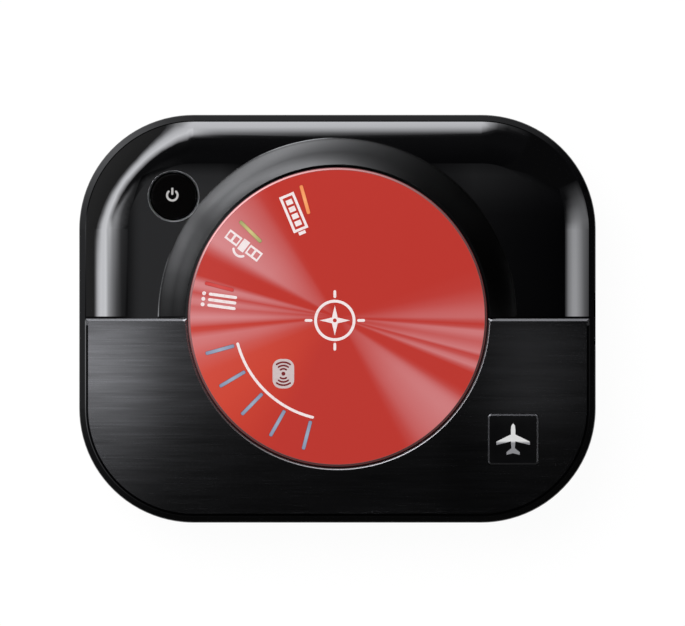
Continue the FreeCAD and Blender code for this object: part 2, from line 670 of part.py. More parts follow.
def make_dial():
    """The round dial with a slot for each light bar, and the ring of adhesive under it."""
    disc = doc.addObject("PartDesign::Body", "disc_blank")
    sketch = sketch_on(disc, "disc_bottom")
    sketch.addGeometry(Part.Circle(FreeCAD.Vector(0, 0, 0), FreeCAD.Vector(0, 0, 1), 20))
    sketch.addConstraint(Sketcher.Constraint("Coincident", 0, 3, -1, 1))
    sketch.renameConstraint(sketch.addConstraint(Sketcher.Constraint("Radius", 0, 20)), "radius")
    sketch.setExpression("Constraints.radius", formula("disc_radius"))
    pad = disc.newObject("PartDesign::Pad", "disc_pad")
    pad.Profile = sketch
    bind(pad, Length="disc_thickness")
    doc.recompute()
    dress(disc, "Chamfer", "disc_chamfer", down="disc_chamfer_height")
    place(disc, 0, "dial_above_split")
    slots = [
        light_bar(f"dial_slot_{name}", angle, "indicator_clearance", ("disc_bottom - 1", "disc_top + 1"))
        for name, angle in LIGHTS
    ]
    node(cut("dial_disc", disc, *slots), "dial_disc")
    outer = "disc_radius - dial_tape_margin"
    inner = f"{outer} - dial_tape_width"
    node(ring("tape_ring", outer, inner, ("pocket_floor", "disc_bottom"), 0, "dial_above_split"), "dial_tape")


def make_plate():
    """The brushed plate with its bright edge, its adhesive and the nameplate."""
    z = ("plate_bottom", "seat_height")
    edge = {"size": "plate_chamfer", "down": "plate_chamfer_height"}
    face = dress(outline("plate_face", "border_width", z), "Chamfer", **edge)
    half = rounded_block("plate_half", f"2 * {FAR}", FAR, "corner_radius", z)
    place(dress(half, "Chamfer", **edge), 0, f"-{FAR} / 2")
    arc = cylinder("plate_arc", "arc_radius", z, 0, "dial_above_split")
    edge_z = ("seat_height - plate_chamfer_height", "seat_height + plate_chamfer_height")
    beyond = "arc_radius + 2 * plate_chamfer"
    arc_edge = cone("plate_arc_edge", "arc_radius", beyond, edge_z, 0, "dial_above_split")
    hole = "badge_size + 2 * badge_clearance"
    opening = rounded_block("badge_hole", hole, hole, "badge_radius", ("plate_bottom - 1", "seat_height + 1"))
    place(opening, "badge_x", "badge_y")
    node(cut("plate_with_hole", common("plate_lower", face, half), arc, arc_edge, opening), "trim_plate")

    film_z = ("pedestal_top", "plate_bottom")
    margin = "plate_tape_margin"
    film_face = outline("film_face", f"border_width + {margin}", film_z)
    film_half = box("film_half", ALL, (f"-{FAR}", f"-{margin}"), film_z)
    film_arc = cylinder("film_arc", f"seat_radius + {margin}", film_z, 0, "dial_above_split")
    node(cut("plate_film", common("film_lower", film_face, film_half), film_arc), "plate_tape")

    badge_z = ("plate_bottom", "seat_height + badge_proud")
    badge = rounded_block("badge", "badge_size", "badge_size", "badge_radius", badge_z)
    dress(badge, "Chamfer", "badge_chamfer", down="badge_chamfer_height")
    node(place(badge, "badge_x", "badge_y"), "nameplate")


# ----------------------------------------------------------------------------------- indicators


def make_light_pipes():
    """A light pipe in each slot, with a foot under the shell, and a diode on the board below it."""
    for name, angle in LIGHTS:
        bar = light_bar(f"pipe_{name}_bar", angle, "0", ("pipe_bottom", "disc_top + indicator_proud"))
        middle = at_light(angle)
        foot_z = ("ceiling - pipe_flange_thickness", "ceiling")
        foot_size = ("pipe_flange_length", "pipe_flange_width")
        foot = centred_box(f"pipe_{name}_foot", middle, *foot_size, foot_z, angle)
        node(fuse(f"pipe_{name}", bar, foot), f"light_pipe_{name}")
        led_z = ("board_top", "board_top + led_height")
        node(centred_box(f"led_{name}_block", middle, "led_length", "led_width", led_z, angle), f"led_{name}")


# --------------------------------------------------------------------------------- power button


def make_button():
    """The round power button and the push switch below it: housing, plunger and snap dome."""
    cap = doc.addObject("PartDesign::Body", "button_cap")
    sketch = sketch_on(cap, "flange_top - 0.1")
    sketch.addGeometry(Part.Circle(FreeCAD.Vector(0, 0, 0), FreeCAD.Vector(0, 0, 1), 3))
    sketch.addConstraint(Sketcher.Constraint("Coincident", 0, 3, -1, 1))
    sketch.renameConstraint(sketch.addConstraint(Sketcher.Constraint("Radius", 0, 3)), "radius")
    sketch.setExpression("Constraints.radius", formula("button_radius"))
    pad = cap.newObject("PartDesign::Pad", "button_pad")
    pad.Profile = sketch
    bind(pad, Length="plateau_height + button_proud - flange_top + 0.1")
    doc.recompute()
    dress(cap, "Fillet", "button_edge")
    place(cap, BUTTON_X, BUTTON_Y)
    flange_z = ("flange_bottom", "flange_top")
    flange = cylinder("button_foot", "button_radius + button_flange", flange_z, BUTTON_X, BUTTON_Y)
    node(fuse("button", cap, flange), "power_button")

    middle = (BUTTON_X, BUTTON_Y)
    inner = "switch_size - 2 * switch_wall"
    housing = centred_box("switch_block", middle, "switch_size", "switch_size", ("board_top", "switch_top"))
    hollow = centred_box("switch_hollow", middle, inner, inner, ("dome_seat", "switch_top - switch_wall"))
    bore = cylinder("switch_bore", "plunger_radius + plunger_clearance", ("dome_seat", FAR), *middle)
    node(cut("switch_case", housing, hollow, bore), "switch_housing")

    stem = cylinder("plunger_stem", "plunger_radius", ("plunger_bottom", "flange_bottom"), *middle)
    foot_radius = "plunger_radius + plunger_foot"
    foot = cylinder("plunger_base", foot_radius, ("plunger_bottom", "plunger_shoulder"), *middle)
    node(fuse("plunger", stem, foot), "switch_plunger")

    edge_radius = f"({inner}) / 2 - plunger_clearance"
    ball = f"(({edge_radius}) ^ 2 + dome_rise ^ 2) / (2 * dome_rise)"
    balls = []
    for name, shrink in (("dome_ball", "0"), ("dome_inner_ball", "dome_thickness")):
        sphere = doc.addObject("Part::Sphere", name)
        bind(sphere, Radius=f"({ball}) - {shrink}")
        balls.append(place(sphere, *middle, f"dome_seat + dome_rise - ({ball})"))
    above = cylinder("dome_zone", edge_radius, ("dome_seat", "switch_top"), *middle)
    node(common("snap_dome", cut("dome_sheet", *balls), above), "switch_dome")


# -------------------------------------------------------------------------------- circuit board


def make_board():
    """The circuit board, notched around the screw posts and drilled for its own screws."""
    board = outline("board_blank", "board_inset", ("board_height", "board_top"))
    holes = []
    for number, (side_x, side_y) in enumerate(CASE_SCREWS):
        x, y = at_screw(side_x, side_y)
        holes.append(cylinder(f"board_notch_{number}", "post_radius + board_notch", ("0", FAR), x, y))
    for name, (x, y) in AT_BOARD_SCREW.items():
        hole = "board_screw_radius + shank_clearance"
        holes.append(cylinder(f"board_hole_{name}", hole, ("0", FAR), x, y))
    node(cut("board", board, *holes), "main_board")


def make_antenna():
    """Ceramic patch antenna with its silver electrode and the bead of its feed pin."""
    middle = ("antenna_offset", "0")
    block = centred_box("antenna_block", middle, "antenna_size", "antenna_size", ("board_top", "antenna_top"))
    node(block, "antenna_ceramic")
    patch_top = "antenna_top + electrode_thickness"
    patch_z = ("antenna_top", patch_top)
    patch = centred_box("electrode_patch", middle, "electrode_size", "electrode_size", patch_z)
    bead_z = (patch_top, f"{patch_top} + feed_height")
    bead = cone("feed_bead", "feed_radius", "feed_radius / 2", bead_z, "antenna_offset - feed_offset", "0")
    node(fuse("electrode", patch, bead), "antenna_electrode")


def shield_can(name, label, middle, length, width, z):
    """A folded sheet-metal can, open below, with two rows of vent holes in its lid."""
    outside = place(rounded_block(name + "_outside", length, width, "can_radius", z), *middle)
    inside_z = (f"{z[0]} - 1", f"{z[1]} - can_wall")
    inner_length, inner_width = f"{length} - 2 * can_wall", f"{width} - 2 * can_wall"
    inside = rounded_block(name + "_inside", inner_length, inner_width, "can_radius - can_wall", inside_z)
    place(inside, *middle)
    vents = []
    for row in (-1, 1):
        for column in (-1, 0, 1):
            x = f"{middle[0]} + {column} * ({length}) / 4"
            y = f"{middle[1]} + {row} * ({width}) / 4"
            vents.append(cylinder(f"{name}_vent_{len(vents)}", "vent_radius", (z[0], FAR), x, y))
    node(cut(name, outside, inside, *vents), label)


def make_electronics():
    """What the board carries: receiver, radio, processor, memory, charger, coil and crystal."""
    middle = ("receiver_offset", "(receiver_front + receiver_back) / 2")
    can_width = "receiver_back - receiver_front"
    can_z = ("board_top", "board_top + receiver_height")
    shield_can("receiver_can", "receiver_shield", middle, "receiver_length", can_width, can_z)
    chip_z = ("board_top", "board_top + receiver_chip_height")
    chip = centred_box("receiver_block", middle, "receiver_chip_length", "receiver_chip_width", chip_z)
    node(chip, "receiver_chip")
    for label, side_x, _, side_y, *_ in CHIPS:
        x, y = from_sides(label, side_x, side_y)
        z = ("board_top", f"board_top + {label}_high")
        node(centred_box(label + "_block", (x, y), f"{label}_long", f"{label}_wide", z), label)
    x, y = from_sides("radio_board", 0, -1)
    top = "board_top + radio_board_high"
    can_x = f"{x} - radio_board_long / 2 + radio_can_margin + radio_can_length / 2"
    can_width = "radio_board_wide - 2 * radio_can_margin"
    can_z = (top, f"{top} + radio_can_height")
    shield_can("radio_can", "radio_shield", (can_x, y), "radio_can_length", can_width, can_z)
    antenna_x = f"{x} + radio_board_long / 2 - radio_antenna_margin - radio_antenna_length / 2"
    antenna_z = (top, f"{top} + radio_antenna_height")
    antenna_size = ("radio_antenna_length", "radio_antenna_width")
    node(centred_box("radio_antenna_block", (antenna_x, y), *antenna_size, antenna_z), "radio_antenna")


def make_socket():
    """USB socket: a folded steel shell and the tongue inside it."""
    front, back = "socket_front", "socket_front - socket_length"
    z = ("board_top", "board_top + socket_height")
    inner_y = around("0", "socket_width - 2 * socket_sheet")
    inner_z = (f"{z[0]} + socket_sheet", f"{z[1]} - socket_sheet")
    behind = f"{back} + socket_sheet"
    outside = box("socket_block", (back, front), around("0", "socket_width"), z)
    inside = box("socket_hollow", (behind, f"{front} + 1"), inner_y, inner_z)
    node(cut("socket", outside, inside), "usb_shell")
    root = box("tongue_block", (behind, f"{behind} + tongue_root"), inner_y, inner_z)
    blade_z = around("socket_level + tongue_raise", "tongue_thickness")
    blade = box("tongue_blade", (behind, f"{front} - tongue_setback"), around("0", "tongue_width"), blade_z)
    node(fuse("tongue", root, blade), "usb_tongue")


# --------------------------------------------------------------------------------------- screws


def cross_recess(name, x, y):
    """The cross that a driver turns, in the head of a case screw."""
    z = ("screw_sink", "screw_sink + drive_depth")
    across = centred_box(name + "_across", (x, y), "2 * cross_reach", "drive_width", z)
    along = centred_box(name + "_along", (x, y), "drive_width", "2 * cross_reach", z)
    return across, along


def make_screws():
    """Four case screws up through the base, and three that hold the board to the top shell."""
    made = []
    for number, (side_x, side_y) in enumerate(CASE_SCREWS):
        x, y = at_screw(side_x, side_y)
        head = cylinder(f"case_head_{number}", "screw_head_radius", ("screw_sink", "head_seat"), x, y)
        shank_z = ("head_seat", "head_seat + screw_length")
        shank = cylinder(f"case_shank_{number}", "screw_radius", shank_z, x, y)
        recess = cross_recess(f"case_cross_{number}", x, y)
        made.append(cut(f"case_screw_{number}", fuse(f"case_blank_{number}", head, shank), *recess))
    node(group("case_screw_set", *made), "case_screws")
    made = []
    head_z = ("board_height - board_screw_head_height", "board_height")
    shank_z = ("board_height", "board_top + board_screw_length")
    for name, (x, y) in AT_BOARD_SCREW.items():
        head = cylinder(f"small_head_{name}", "board_screw_head_radius", head_z, x, y)
        shank = cylinder(f"small_shank_{name}", "board_screw_radius", shank_z, x, y)
        made.append(fuse(f"small_screw_{name}", head, shank))
    node(group("board_screw_set", *made), "board_screws")


# --------------------------------------------------------------------- bottom shell and its door


def base_outside(name):
    """The solid form of the lower casing."""
    made = outline(name, 0, ("0", "parting_height"), draft="side_draft", down=True)
    dress(made, "Fillet", "base_edge_radius", top=False)
    return dress(made, "Chamfer", "parting_chamfer", top=True)


def make_bottom_shell():
    """Lower casing: tongue, screw pillars, battery bay and the channel that the door slides in."""
    hollow = outline("base_hollow", "side_wall", ("floor_wall", "parting_height + 1"))
    dress(hollow, "Fillet", "floor_radius", top=False)
    pillars, bores = [], []
    for number, (side_x, side_y) in enumerate(CASE_SCREWS):
        x, y = at_screw(side_x, side_y)
        pillars.append(cylinder(f"pillar_{number}", "pillar_radius", ("0", "parting_height"), x, y))
        bores.append(cylinder(f"bore_{number}", "screw_radius + shank_clearance", ("-1", FAR), x, y))
        sink = "screw_head_radius + head_clearance"
        bores.append(cylinder(f"counterbore_{number}", sink, ("-1", "head_seat"), x, y))
    bay_y = ("bay_front - bay_wall", "bay_back + bay_wall")
    bay = box("bay_block", around("0", "2 * (bay_half_width + bay_wall)"), bay_y, ("rail_bottom", "bay_top"))
    channel_width = "2 * (rail_half_width + door_clearance + channel_wall)"
    channel = box("channel", around("0", channel_width), ALL, ("0", "channel_top"))
    solid = fuse("base_solid", *pillars, bay, channel)
    tray = cut("tray", base_outside("base_form"), cut("base_cavity", hollow, solid))
    lip_z = ("parting_height - 0.5", "parting_height + lip_height")
    lip_outside = outline("lip_outside", "side_wall - lip_thickness", lip_z)
    lip = cut("lip", lip_outside, outline("lip_inside", "side_wall", lip_z))
    room_y = ("bay_front", "bay_back")
    room = box("bay_room", around("0", "2 * bay_half_width"), room_y, ("-1", "bay_ceiling"))
    window_x = around("contact_centre", "2 * contact_pitch + contact_width + contact_radius")
    window_y = ("bay_back - 0.5", "bay_back + bay_wall + 0.5")
    window_z = around("contact_height", "2 * (contact_radius + contact_sheet)")
    window = box("contact_window", window_x, window_y, window_z)
    whole = fuse("tray_with_bay", tray, lip, bay)
    node(cut("base_cut", whole, room, window, *door_form("way", "door_clearance"), *bores), "bottom_shell")


def door_form(prefix, grow):
    """The door as plain blocks, grown on every side: plate, webs, rails and upturned end.

    It is left open to the front, where the door slides out."""
    plate_half = f"door_half_width + {grow}"
    rails_half = f"rail_half_width + {grow}"
    web_inside = f"door_half_width - door_web - {grow}"
    whole_y = ("-body_width", f"door_end + {grow}")
    made = [
        box(f"{prefix}_plate", around("0", f"2 * ({plate_half})"), whole_y, ("-1", f"door_top + {grow}")),
        box(
            f"{prefix}_end", around("0", f"2 * ({rails_half})"), ("-body_width", f"door_front + {grow}"),
            ("-1", f"door_lip_height + {grow}"),
        ),
    ]
    for side, sign in (("left", "-"), ("right", "")):
        for piece, outer, z in (
            ("web", plate_half, ("-1", f"rail_top + {grow}")),
            ("rail", rails_half, (f"rail_bottom - {grow}", f"rail_top + {grow}")),
        ):
            ends = [f"{sign}({web_inside})", f"{sign}({outer})"]
            made.append(box(f"{prefix}_{piece}_{side}", ends[::-1] if sign else ends, whole_y, z))
    return made


def make_door():
    """Battery door: a plate on two rails that slides out over the front edge, with a grip and a panel."""
    blocks = fuse("door_blocks", *door_form("door", "0"))
    shape = common("door_shape", blocks, base_outside("door_envelope"))
    underside = box("door_underside", ALL, ALL, ("-1", "door_recess"))
    panel_z = ("-1", "door_recess + label_depth")
    panel = box("door_label", around("0", "label_length"), around("label_centre", "label_width"), panel_z)
    grooves = []
    for number in range(int(sheet.get("grip_count"))):
        start = f"grip_from_front - body_width / 2 + {number} * grip_pitch"
        groove_z = ("-1", "door_recess + grip_depth")
        groove = box(f"grip_{number}", around("0", "grip_length"), (start, f"{start} + grip_width"), groove_z)
        grooves.append(groove)
    node(cut("battery_lid", shape, underside, panel, *grooves), "battery_door")


# -------------------------------------------------------------------------- battery and contacts


def contact_x(number):
    """Place of one of the three contacts along X."""
    return f"contact_centre + {number - 1} * contact_pitch"


def make_battery():
    """Flat lithium-ion pack: cell, plastic end cap and three terminals."""
    length, z = "battery_back - battery_front", ("battery_bottom", "battery_top")
    whole = rounded_block("pack_form", "battery_width", length, "battery_radius", z)
    dress(whole, "Fillet", "battery_edge")
    dress(whole, "Fillet", "battery_edge", top=False)
    place(whole, 0, "(battery_front + battery_back) / 2")
    seam = "battery_back - battery_cap_length"
    cell_zone = box("cell_zone", ALL, (f"-{FAR}", seam), ("0", FAR))
    cap_zone = box("cap_zone", ALL, (seam, FAR), ("0", FAR))
    node(common("cell", whole, cell_zone), "battery_cell")
    pockets, pads = [], []
    for number in range(3):
        z = around("contact_height", "terminal_height")
        x_range = around(contact_x(number), "terminal_width")
        behind = "terminal_face - terminal_thickness"
        pockets.append(box(f"terminal_pocket_{number}", x_range, (behind, FAR), z))
        pads.append(box(f"terminal_{number}", x_range, (behind, "terminal_face"), z))
    node(cut("cap", common("cap_form", whole, cap_zone), *pockets), "battery_end_cap")
    node(group("terminal_set", *pads), "battery_terminals")


def make_contacts():
    """Contact block under the board, with three bent leaves that press on the terminals."""
    block_x = around("contact_centre", "block_width")
    block_z = ("channel_top + block_clearance", "board_height")
    node(box("contact_body", block_x, ("block_front", "block_back"), block_z), "contact_block")
    leaves = []
    for number in range(3):
        start, end = around(contact_x(number), "contact_width")
        tubes = []
        for name, radius in (("outside", "contact_radius"), ("inside", "contact_radius - contact_sheet")):
            tube = doc.addObject("Part::Cylinder", f"leaf_{number}_{name}")
            bind(tube, Radius=radius, Height="contact_width")
            place(tube, start, "leaf_axis", "contact_height")
            tube.Placement.Rotation = FreeCAD.Rotation(FreeCAD.Vector(0, 1, 0), 90)
            tubes.append(tube)
        front = box(f"leaf_{number}_front", ALL, (f"-{FAR}", "leaf_axis"), ("0", FAR))
        bend = common(f"leaf_{number}_bend", cut(f"leaf_{number}_tube", *tubes), front)
        legs = []
        for side, low in (("low", "-contact_radius"), ("high", "contact_radius - contact_sheet")):
            z = (f"contact_height + {low}", f"contact_height + {low} + contact_sheet")
            legs.append(box(f"leaf_{number}_{side}", (start, end), ("leaf_axis", "block_front"), z))
        leaves.append(fuse(f"leaf_{number}", bend, *legs))
    node(group("leaf_set", *leaves), "contact_leaves")


# ------------------------------------------------------------------------------- build and write


def main():
    """Builds every sub-part, checks it and writes its file."""
    make_top_shell()
    make_dial()
    make_plate()
    make_light_pipes()
    make_button()
    make_board()
    make_antenna()
    make_electronics()
    make_socket()
    make_screws()
    make_bottom_shell()
    make_door()
    make_battery()
    make_contacts()
    doc.recompute()
    failed = [f"{o.Name}: {o.State}" for o in doc.Objects if {"Invalid", "Error"} & set(o.State)]
    for part in NODES:
        if part.Shape.isNull() or not part.Shape.isValid() or not part.Shape.Solids:
            failed.append(f"{part.Label}: no valid solid")
    if failed:
        raise RuntimeError("; ".join(failed))
    os.makedirs("parts", exist_ok=True)
    for part in NODES:
        part.Shape.exportStep(f"parts/{part.Label}.step")
        print(f"{part.Label}: {len(part.Shape.Solids)} solid(s), {part.Shape.Volume:.1f} mm3")


main()
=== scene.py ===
# %% [markdown]
# # A portable aviation GPS receiver
# The receiver is a flat black plastic puck, 79 mm long, that lies on the glare shield of a small aircraft.
# Its structure comes ready-made and exact from the CAD model. What is left for Blender is what the eye sees:
# the finish of each piece, the marks printed on it, and light that shows them. All sizes below are real
# ones in millimetres, because a finish looks right only when its grain has its real size.

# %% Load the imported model
import math

import bmesh
import bpy
import numpy as np
from mathutils import Matrix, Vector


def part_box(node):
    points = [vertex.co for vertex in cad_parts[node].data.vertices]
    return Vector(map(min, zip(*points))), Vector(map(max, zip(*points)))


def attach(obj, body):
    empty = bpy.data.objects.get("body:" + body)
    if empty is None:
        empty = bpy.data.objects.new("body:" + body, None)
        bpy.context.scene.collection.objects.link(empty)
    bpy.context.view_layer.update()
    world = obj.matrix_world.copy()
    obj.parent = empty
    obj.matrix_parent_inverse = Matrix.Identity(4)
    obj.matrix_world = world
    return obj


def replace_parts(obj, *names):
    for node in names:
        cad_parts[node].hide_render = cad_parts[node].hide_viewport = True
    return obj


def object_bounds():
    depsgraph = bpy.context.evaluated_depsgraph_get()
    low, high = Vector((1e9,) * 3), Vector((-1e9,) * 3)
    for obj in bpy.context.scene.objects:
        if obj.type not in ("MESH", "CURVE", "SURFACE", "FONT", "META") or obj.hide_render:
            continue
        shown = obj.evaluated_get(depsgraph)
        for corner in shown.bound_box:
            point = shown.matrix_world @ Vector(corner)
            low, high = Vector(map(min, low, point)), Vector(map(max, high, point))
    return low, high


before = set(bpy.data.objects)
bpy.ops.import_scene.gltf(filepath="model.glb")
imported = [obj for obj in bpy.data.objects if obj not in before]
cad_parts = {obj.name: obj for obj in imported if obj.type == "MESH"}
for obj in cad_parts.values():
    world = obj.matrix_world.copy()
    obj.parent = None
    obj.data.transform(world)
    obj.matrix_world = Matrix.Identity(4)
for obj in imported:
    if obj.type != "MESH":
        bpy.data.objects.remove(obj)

MM = 0.001
cad_box = [list(corner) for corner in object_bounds()]
print("CAD box, mm:", [[round(v / MM, 2) for v in corner] for corner in cad_box])

# %% [markdown]
# Blender works in linear light, while colours are usually written as sRGB hex values. One function turns one
# into the other, so that every colour below can be read and changed by hand.

# %% Colours
def linear(code):
    """A hex colour as linear red, green, blue and alpha."""
    channels = [int(code[i:i + 2], 16) / 255 for i in (1, 3, 5)]
    return [c / 12.92 if c <= 0.04045 else ((c + 0.055) / 1.055) ** 2.4 for c in channels] + [1.0]


print("mid grey in linear light:", [round(c, 3) for c in linear("#808080")])

# %% [markdown]
# A procedural material is a small graph of nodes. They could be placed by hand in the shader editor. In code,
# one helper that adds a node, makes its choices and fills or links its inputs is enough for all of them.
# Two shorthands stand for the nodes that are needed most: a mix, and a noise with a size in millimetres.

# %% Add nodes
def add(tree, kind, inputs=(), out=0, stops=(), **settings):
    """Adds a node and returns one of its outputs. Inputs go in order, or by name from a dict: another node's
    output is linked and a plain value is set. Stops fill a colour ramp with greys or colours."""
    made = tree.nodes.new("ShaderNode" + kind)
    for name, value in settings.items():
        setattr(made, name, value)
    for name, value in inputs.items() if isinstance(inputs, dict) else enumerate(inputs):
        if isinstance(value, bpy.types.NodeSocket):
            tree.links.new(value, made.inputs[name])
        elif value is not None:
            made.inputs[name].default_value = value
    for number, (position, value) in enumerate(stops):
        points = made.color_ramp.elements
        point = points[number] if number < 2 else points.new(position)
        point.position = position
        point.color = value if isinstance(value, list) else (value, value, value, 1)
    return made.outputs[out] if len(made.outputs) else None


def blend(tree, share, first, second, kind="RGBA"):
    """Mixes two colours, or two numbers of kind FLOAT: all first at share 0 and all second at share 1."""
    a, b, out = {"RGBA": (6, 7, 2), "FLOAT": (2, 3, 0)}[kind]
    return add(tree, "Mix", {0: share, a: first, b: second}, data_type=kind, out=out)


def noise(tree, size_mm, detail):
    """A cloudy pattern from 0 to 1 whose blotches have a real size."""
    where = add(tree, "TexCoord", out="Object")
    return add(tree, "TexNoise", {"Vector": where, "Scale": 1 / (size_mm * MM), "Detail": detail}, out="Fac")


def new_material(name):
    """An empty material and its tree of nodes."""
    made = bpy.data.materials.new(name)
    made.use_nodes = True
    made.node_tree.nodes.clear()
    return made, made.node_tree


def paint(made, *names):
    """Gives a material to CAD nodes."""
    for name in names:
        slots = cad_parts[name].data.materials
        slots.clear()
        slots.append(made)
    print(made.name, "on", ", ".join(names))


# %% [markdown]
# The dial, the button and the plates are where the CAD model says. Their boxes give the middle and the top
# of each, and every print and pattern below is laid out from those.

# %% Where the pieces are
def middle_and_top(name):
    """Middle of a CAD node in plan and the height of its top, in metres."""
    low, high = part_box(name)
    return (low.x + high.x) / 2, (low.y + high.y) / 2, high.z


DIAL_X, DIAL_Y, DIAL_TOP = middle_and_top("dial_disc")
BUTTON_X, BUTTON_Y, BUTTON_TOP = middle_and_top("power_button")
BADGE_X, BADGE_Y, BADGE_TOP = middle_and_top("nameplate")
DIAL_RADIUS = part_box("dial_disc")[1].x - DIAL_X
print("dial, mm: radius", round(DIAL_RADIUS / MM, 2), "top", round(DIAL_TOP / MM, 2))

# %% [markdown]
# ## Camera
# The receiver is seen from straight above. A very long lens keeps the sides of such a flat thing out of
# sight, as an orthographic camera would, and still lets other views move closer or further away.

# %% Camera
LENS_MM, SENSOR_MM = 1000, 36
# The view is this wide at the height of the line where the two halves of the casing meet.
VIEW_WIDTH, PARTING_HEIGHT = 104.83 * MM, 8 * MM
VIEW_MIDDLE = (0.77 * MM, 0.88 * MM)
camera = bpy.data.objects.new("camera", bpy.data.cameras.new("camera"))
bpy.context.scene.collection.objects.link(camera)
camera.data.lens = LENS_MM
camera.data.sensor_width = SENSOR_MM
camera.data.clip_end = 20
camera.location = (*VIEW_MIDDLE, PARTING_HEIGHT + VIEW_WIDTH * LENS_MM / SENSOR_MM)
bpy.context.scene.camera = camera
bpy.context.scene.view_settings.view_transform = "Standard"
print("camera height, m:", round(camera.location.z, 3))

# %% [markdown]
# ## Floor and lamps
# The floor is a wide pale disc. The camera and the reflections see it nearly white, and it still takes a
# trace of the receiver's shadow. Seen from below it is clear, so that the base can be looked at too.

# %% Floor
FLOOR_RADIUS = 1.8
made, tree = new_material("paper_white_matt")
path = {kind: add(tree, "LightPath", out=f"Is {kind} Ray") for kind in ("Camera", "Glossy", "Transmission")}
seen = add(tree, "Math", [path["Camera"], path["Glossy"]], operation="MAXIMUM")
seen = add(tree, "Math", [seen, path["Transmission"]], operation="MAXIMUM")
share = add(tree, "Math", [seen, 0.93], operation="MULTIPLY")
plain = add(tree, "BsdfDiffuse", [linear("#F2F2F2")])
white = add(tree, "Emission", [(1, 1, 1, 1), 1.03])
top_side = add(tree, "MixShader", [share, plain, white])
clear = add(tree, "BsdfTransparent")
behind = add(tree, "NewGeometry", out="Backfacing")
add(tree, "OutputMaterial", [add(tree, "MixShader", [behind, top_side, clear])])

floor_mesh = bpy.data.meshes.new("floor")
turns = np.linspace(0, math.tau, 96, endpoint=False)
rim = [(FLOOR_RADIUS * math.cos(a), FLOOR_RADIUS * math.sin(a), 0) for a in turns]
floor_mesh.from_pydata(rim, [], [range(len(rim))])
floor_mesh.materials.append(made)
floor = bpy.data.objects.new("floor", floor_mesh)
bpy.context.scene.collection.objects.link(floor)

# %% [markdown]
# One big soft lamp hangs above and to the upper left, and the room adds a little from all round. Together
# they light a surface at a plain level, at which its colour shows about as it is written. The lamp is left
# out of reflections: what a gloss surface mirrors is set apart, with cards. Between the cards a reflection
# sees a dim room, brightest at the upper left, and below the horizon it is as white as the floor.

# %% Lamp and room
lamp = bpy.data.objects.new("soft_lamp", bpy.data.lights.new("soft_lamp", "AREA"))
bpy.context.scene.collection.objects.link(lamp)
lamp.data.shape = "DISK"
lamp.data.size = 1.1
lamp.data.energy = 17
lamp.location = (-0.45, 0.5, 1.2)
lamp.rotation_euler = (-lamp.location).to_track_quat("-Z", "Y").to_euler()
lamp.visible_glossy = False

world = bpy.data.worlds.new("room")
bpy.context.scene.world = world
world.use_nodes = True
tree = world.node_tree
tree.nodes.clear()
towards = add(tree, "TexCoord", out="Generated")
height = add(tree, "SeparateXYZ", [towards], out="Z")
upper_left = (math.cos(math.radians(150)), math.sin(math.radians(150)), 0)
lean = add(tree, "VectorMath", [towards, upper_left], operation="DOT_PRODUCT", out="Value")
dim = add(tree, "MapRange", [lean, 0, 0.9, 0.02, 0.22])
low = add(tree, "Math", [height, 0.01], operation="LESS_THAN")
path = {kind: add(tree, "LightPath", out=f"Is {kind} Ray") for kind in ("Camera", "Glossy", "Transmission")}
mirrored = add(tree, "Math", [path["Glossy"], low], operation="MULTIPLY")
seen = add(tree, "Math", [path["Camera"], path["Transmission"]], operation="MAXIMUM")
seen = add(tree, "Math", [seen, mirrored], operation="MAXIMUM")
diffuse = add(tree, "LightPath", out="Is Diffuse Ray")
level = blend(tree, diffuse, dim, 0.25, kind="FLOAT")
level = blend(tree, seen, level, 1.0, kind="FLOAT")
add(tree, "OutputWorld", [add(tree, "Background", [(1, 1, 1, 1), level])])

# %% [markdown]
# ## Cards for the gloss to mirror
# A gloss black surface has almost no colour of its own: its shape shows only in what it mirrors. In a
# studio, white cards and softboxes hang round such an object. The big ones here are patches of a large
# sphere round the receiver, so a place on them is simply a compass direction and an angle down from overhead.
# Their glow is written at a few knots and runs smoothly between them. Only reflections see the cards.

# %% Cards
def stage_card(name, points, faces, glow, clear=False):
    """A glowing sheet that only reflections see. A clear one adds its glow to what hangs behind it."""
    made, tree = new_material(name)
    # Reflections find a card by themselves, so its glow needn't be sampled as a lamp.
    made.cycles.emission_sampling = "NONE"
    level = add(tree, "Attribute", attribute_name="glow", out="Fac")
    light = add(tree, "Emission", [(0.95, 0.96, 1, 1), level])
    if clear:
        light = add(tree, "AddShader", [light, add(tree, "BsdfTransparent")])
    add(tree, "OutputMaterial", [light])
    mesh = bpy.data.meshes.new(name)
    mesh.from_pydata(points, [], faces)
    mesh.attributes.new("glow", "FLOAT", "POINT").data.foreach_set("value", glow)
    mesh.materials.append(made)
    card = bpy.data.objects.new(name, mesh)
    bpy.context.scene.collection.objects.link(card)
    for ray in ("camera", "diffuse", "transmission", "volume_scatter", "shadow"):
        setattr(card, "visible_" + ray, False)
    print(name, len(faces), "faces, brightest", round(max(glow), 2))


def grid_faces(rows, columns):
    """Quads between rows of points."""
    return [(r * columns + c, r * columns + c + 1, (r + 1) * columns + c + 1, (r + 1) * columns + c)
            for r in range(rows - 1) for c in range(columns - 1)]


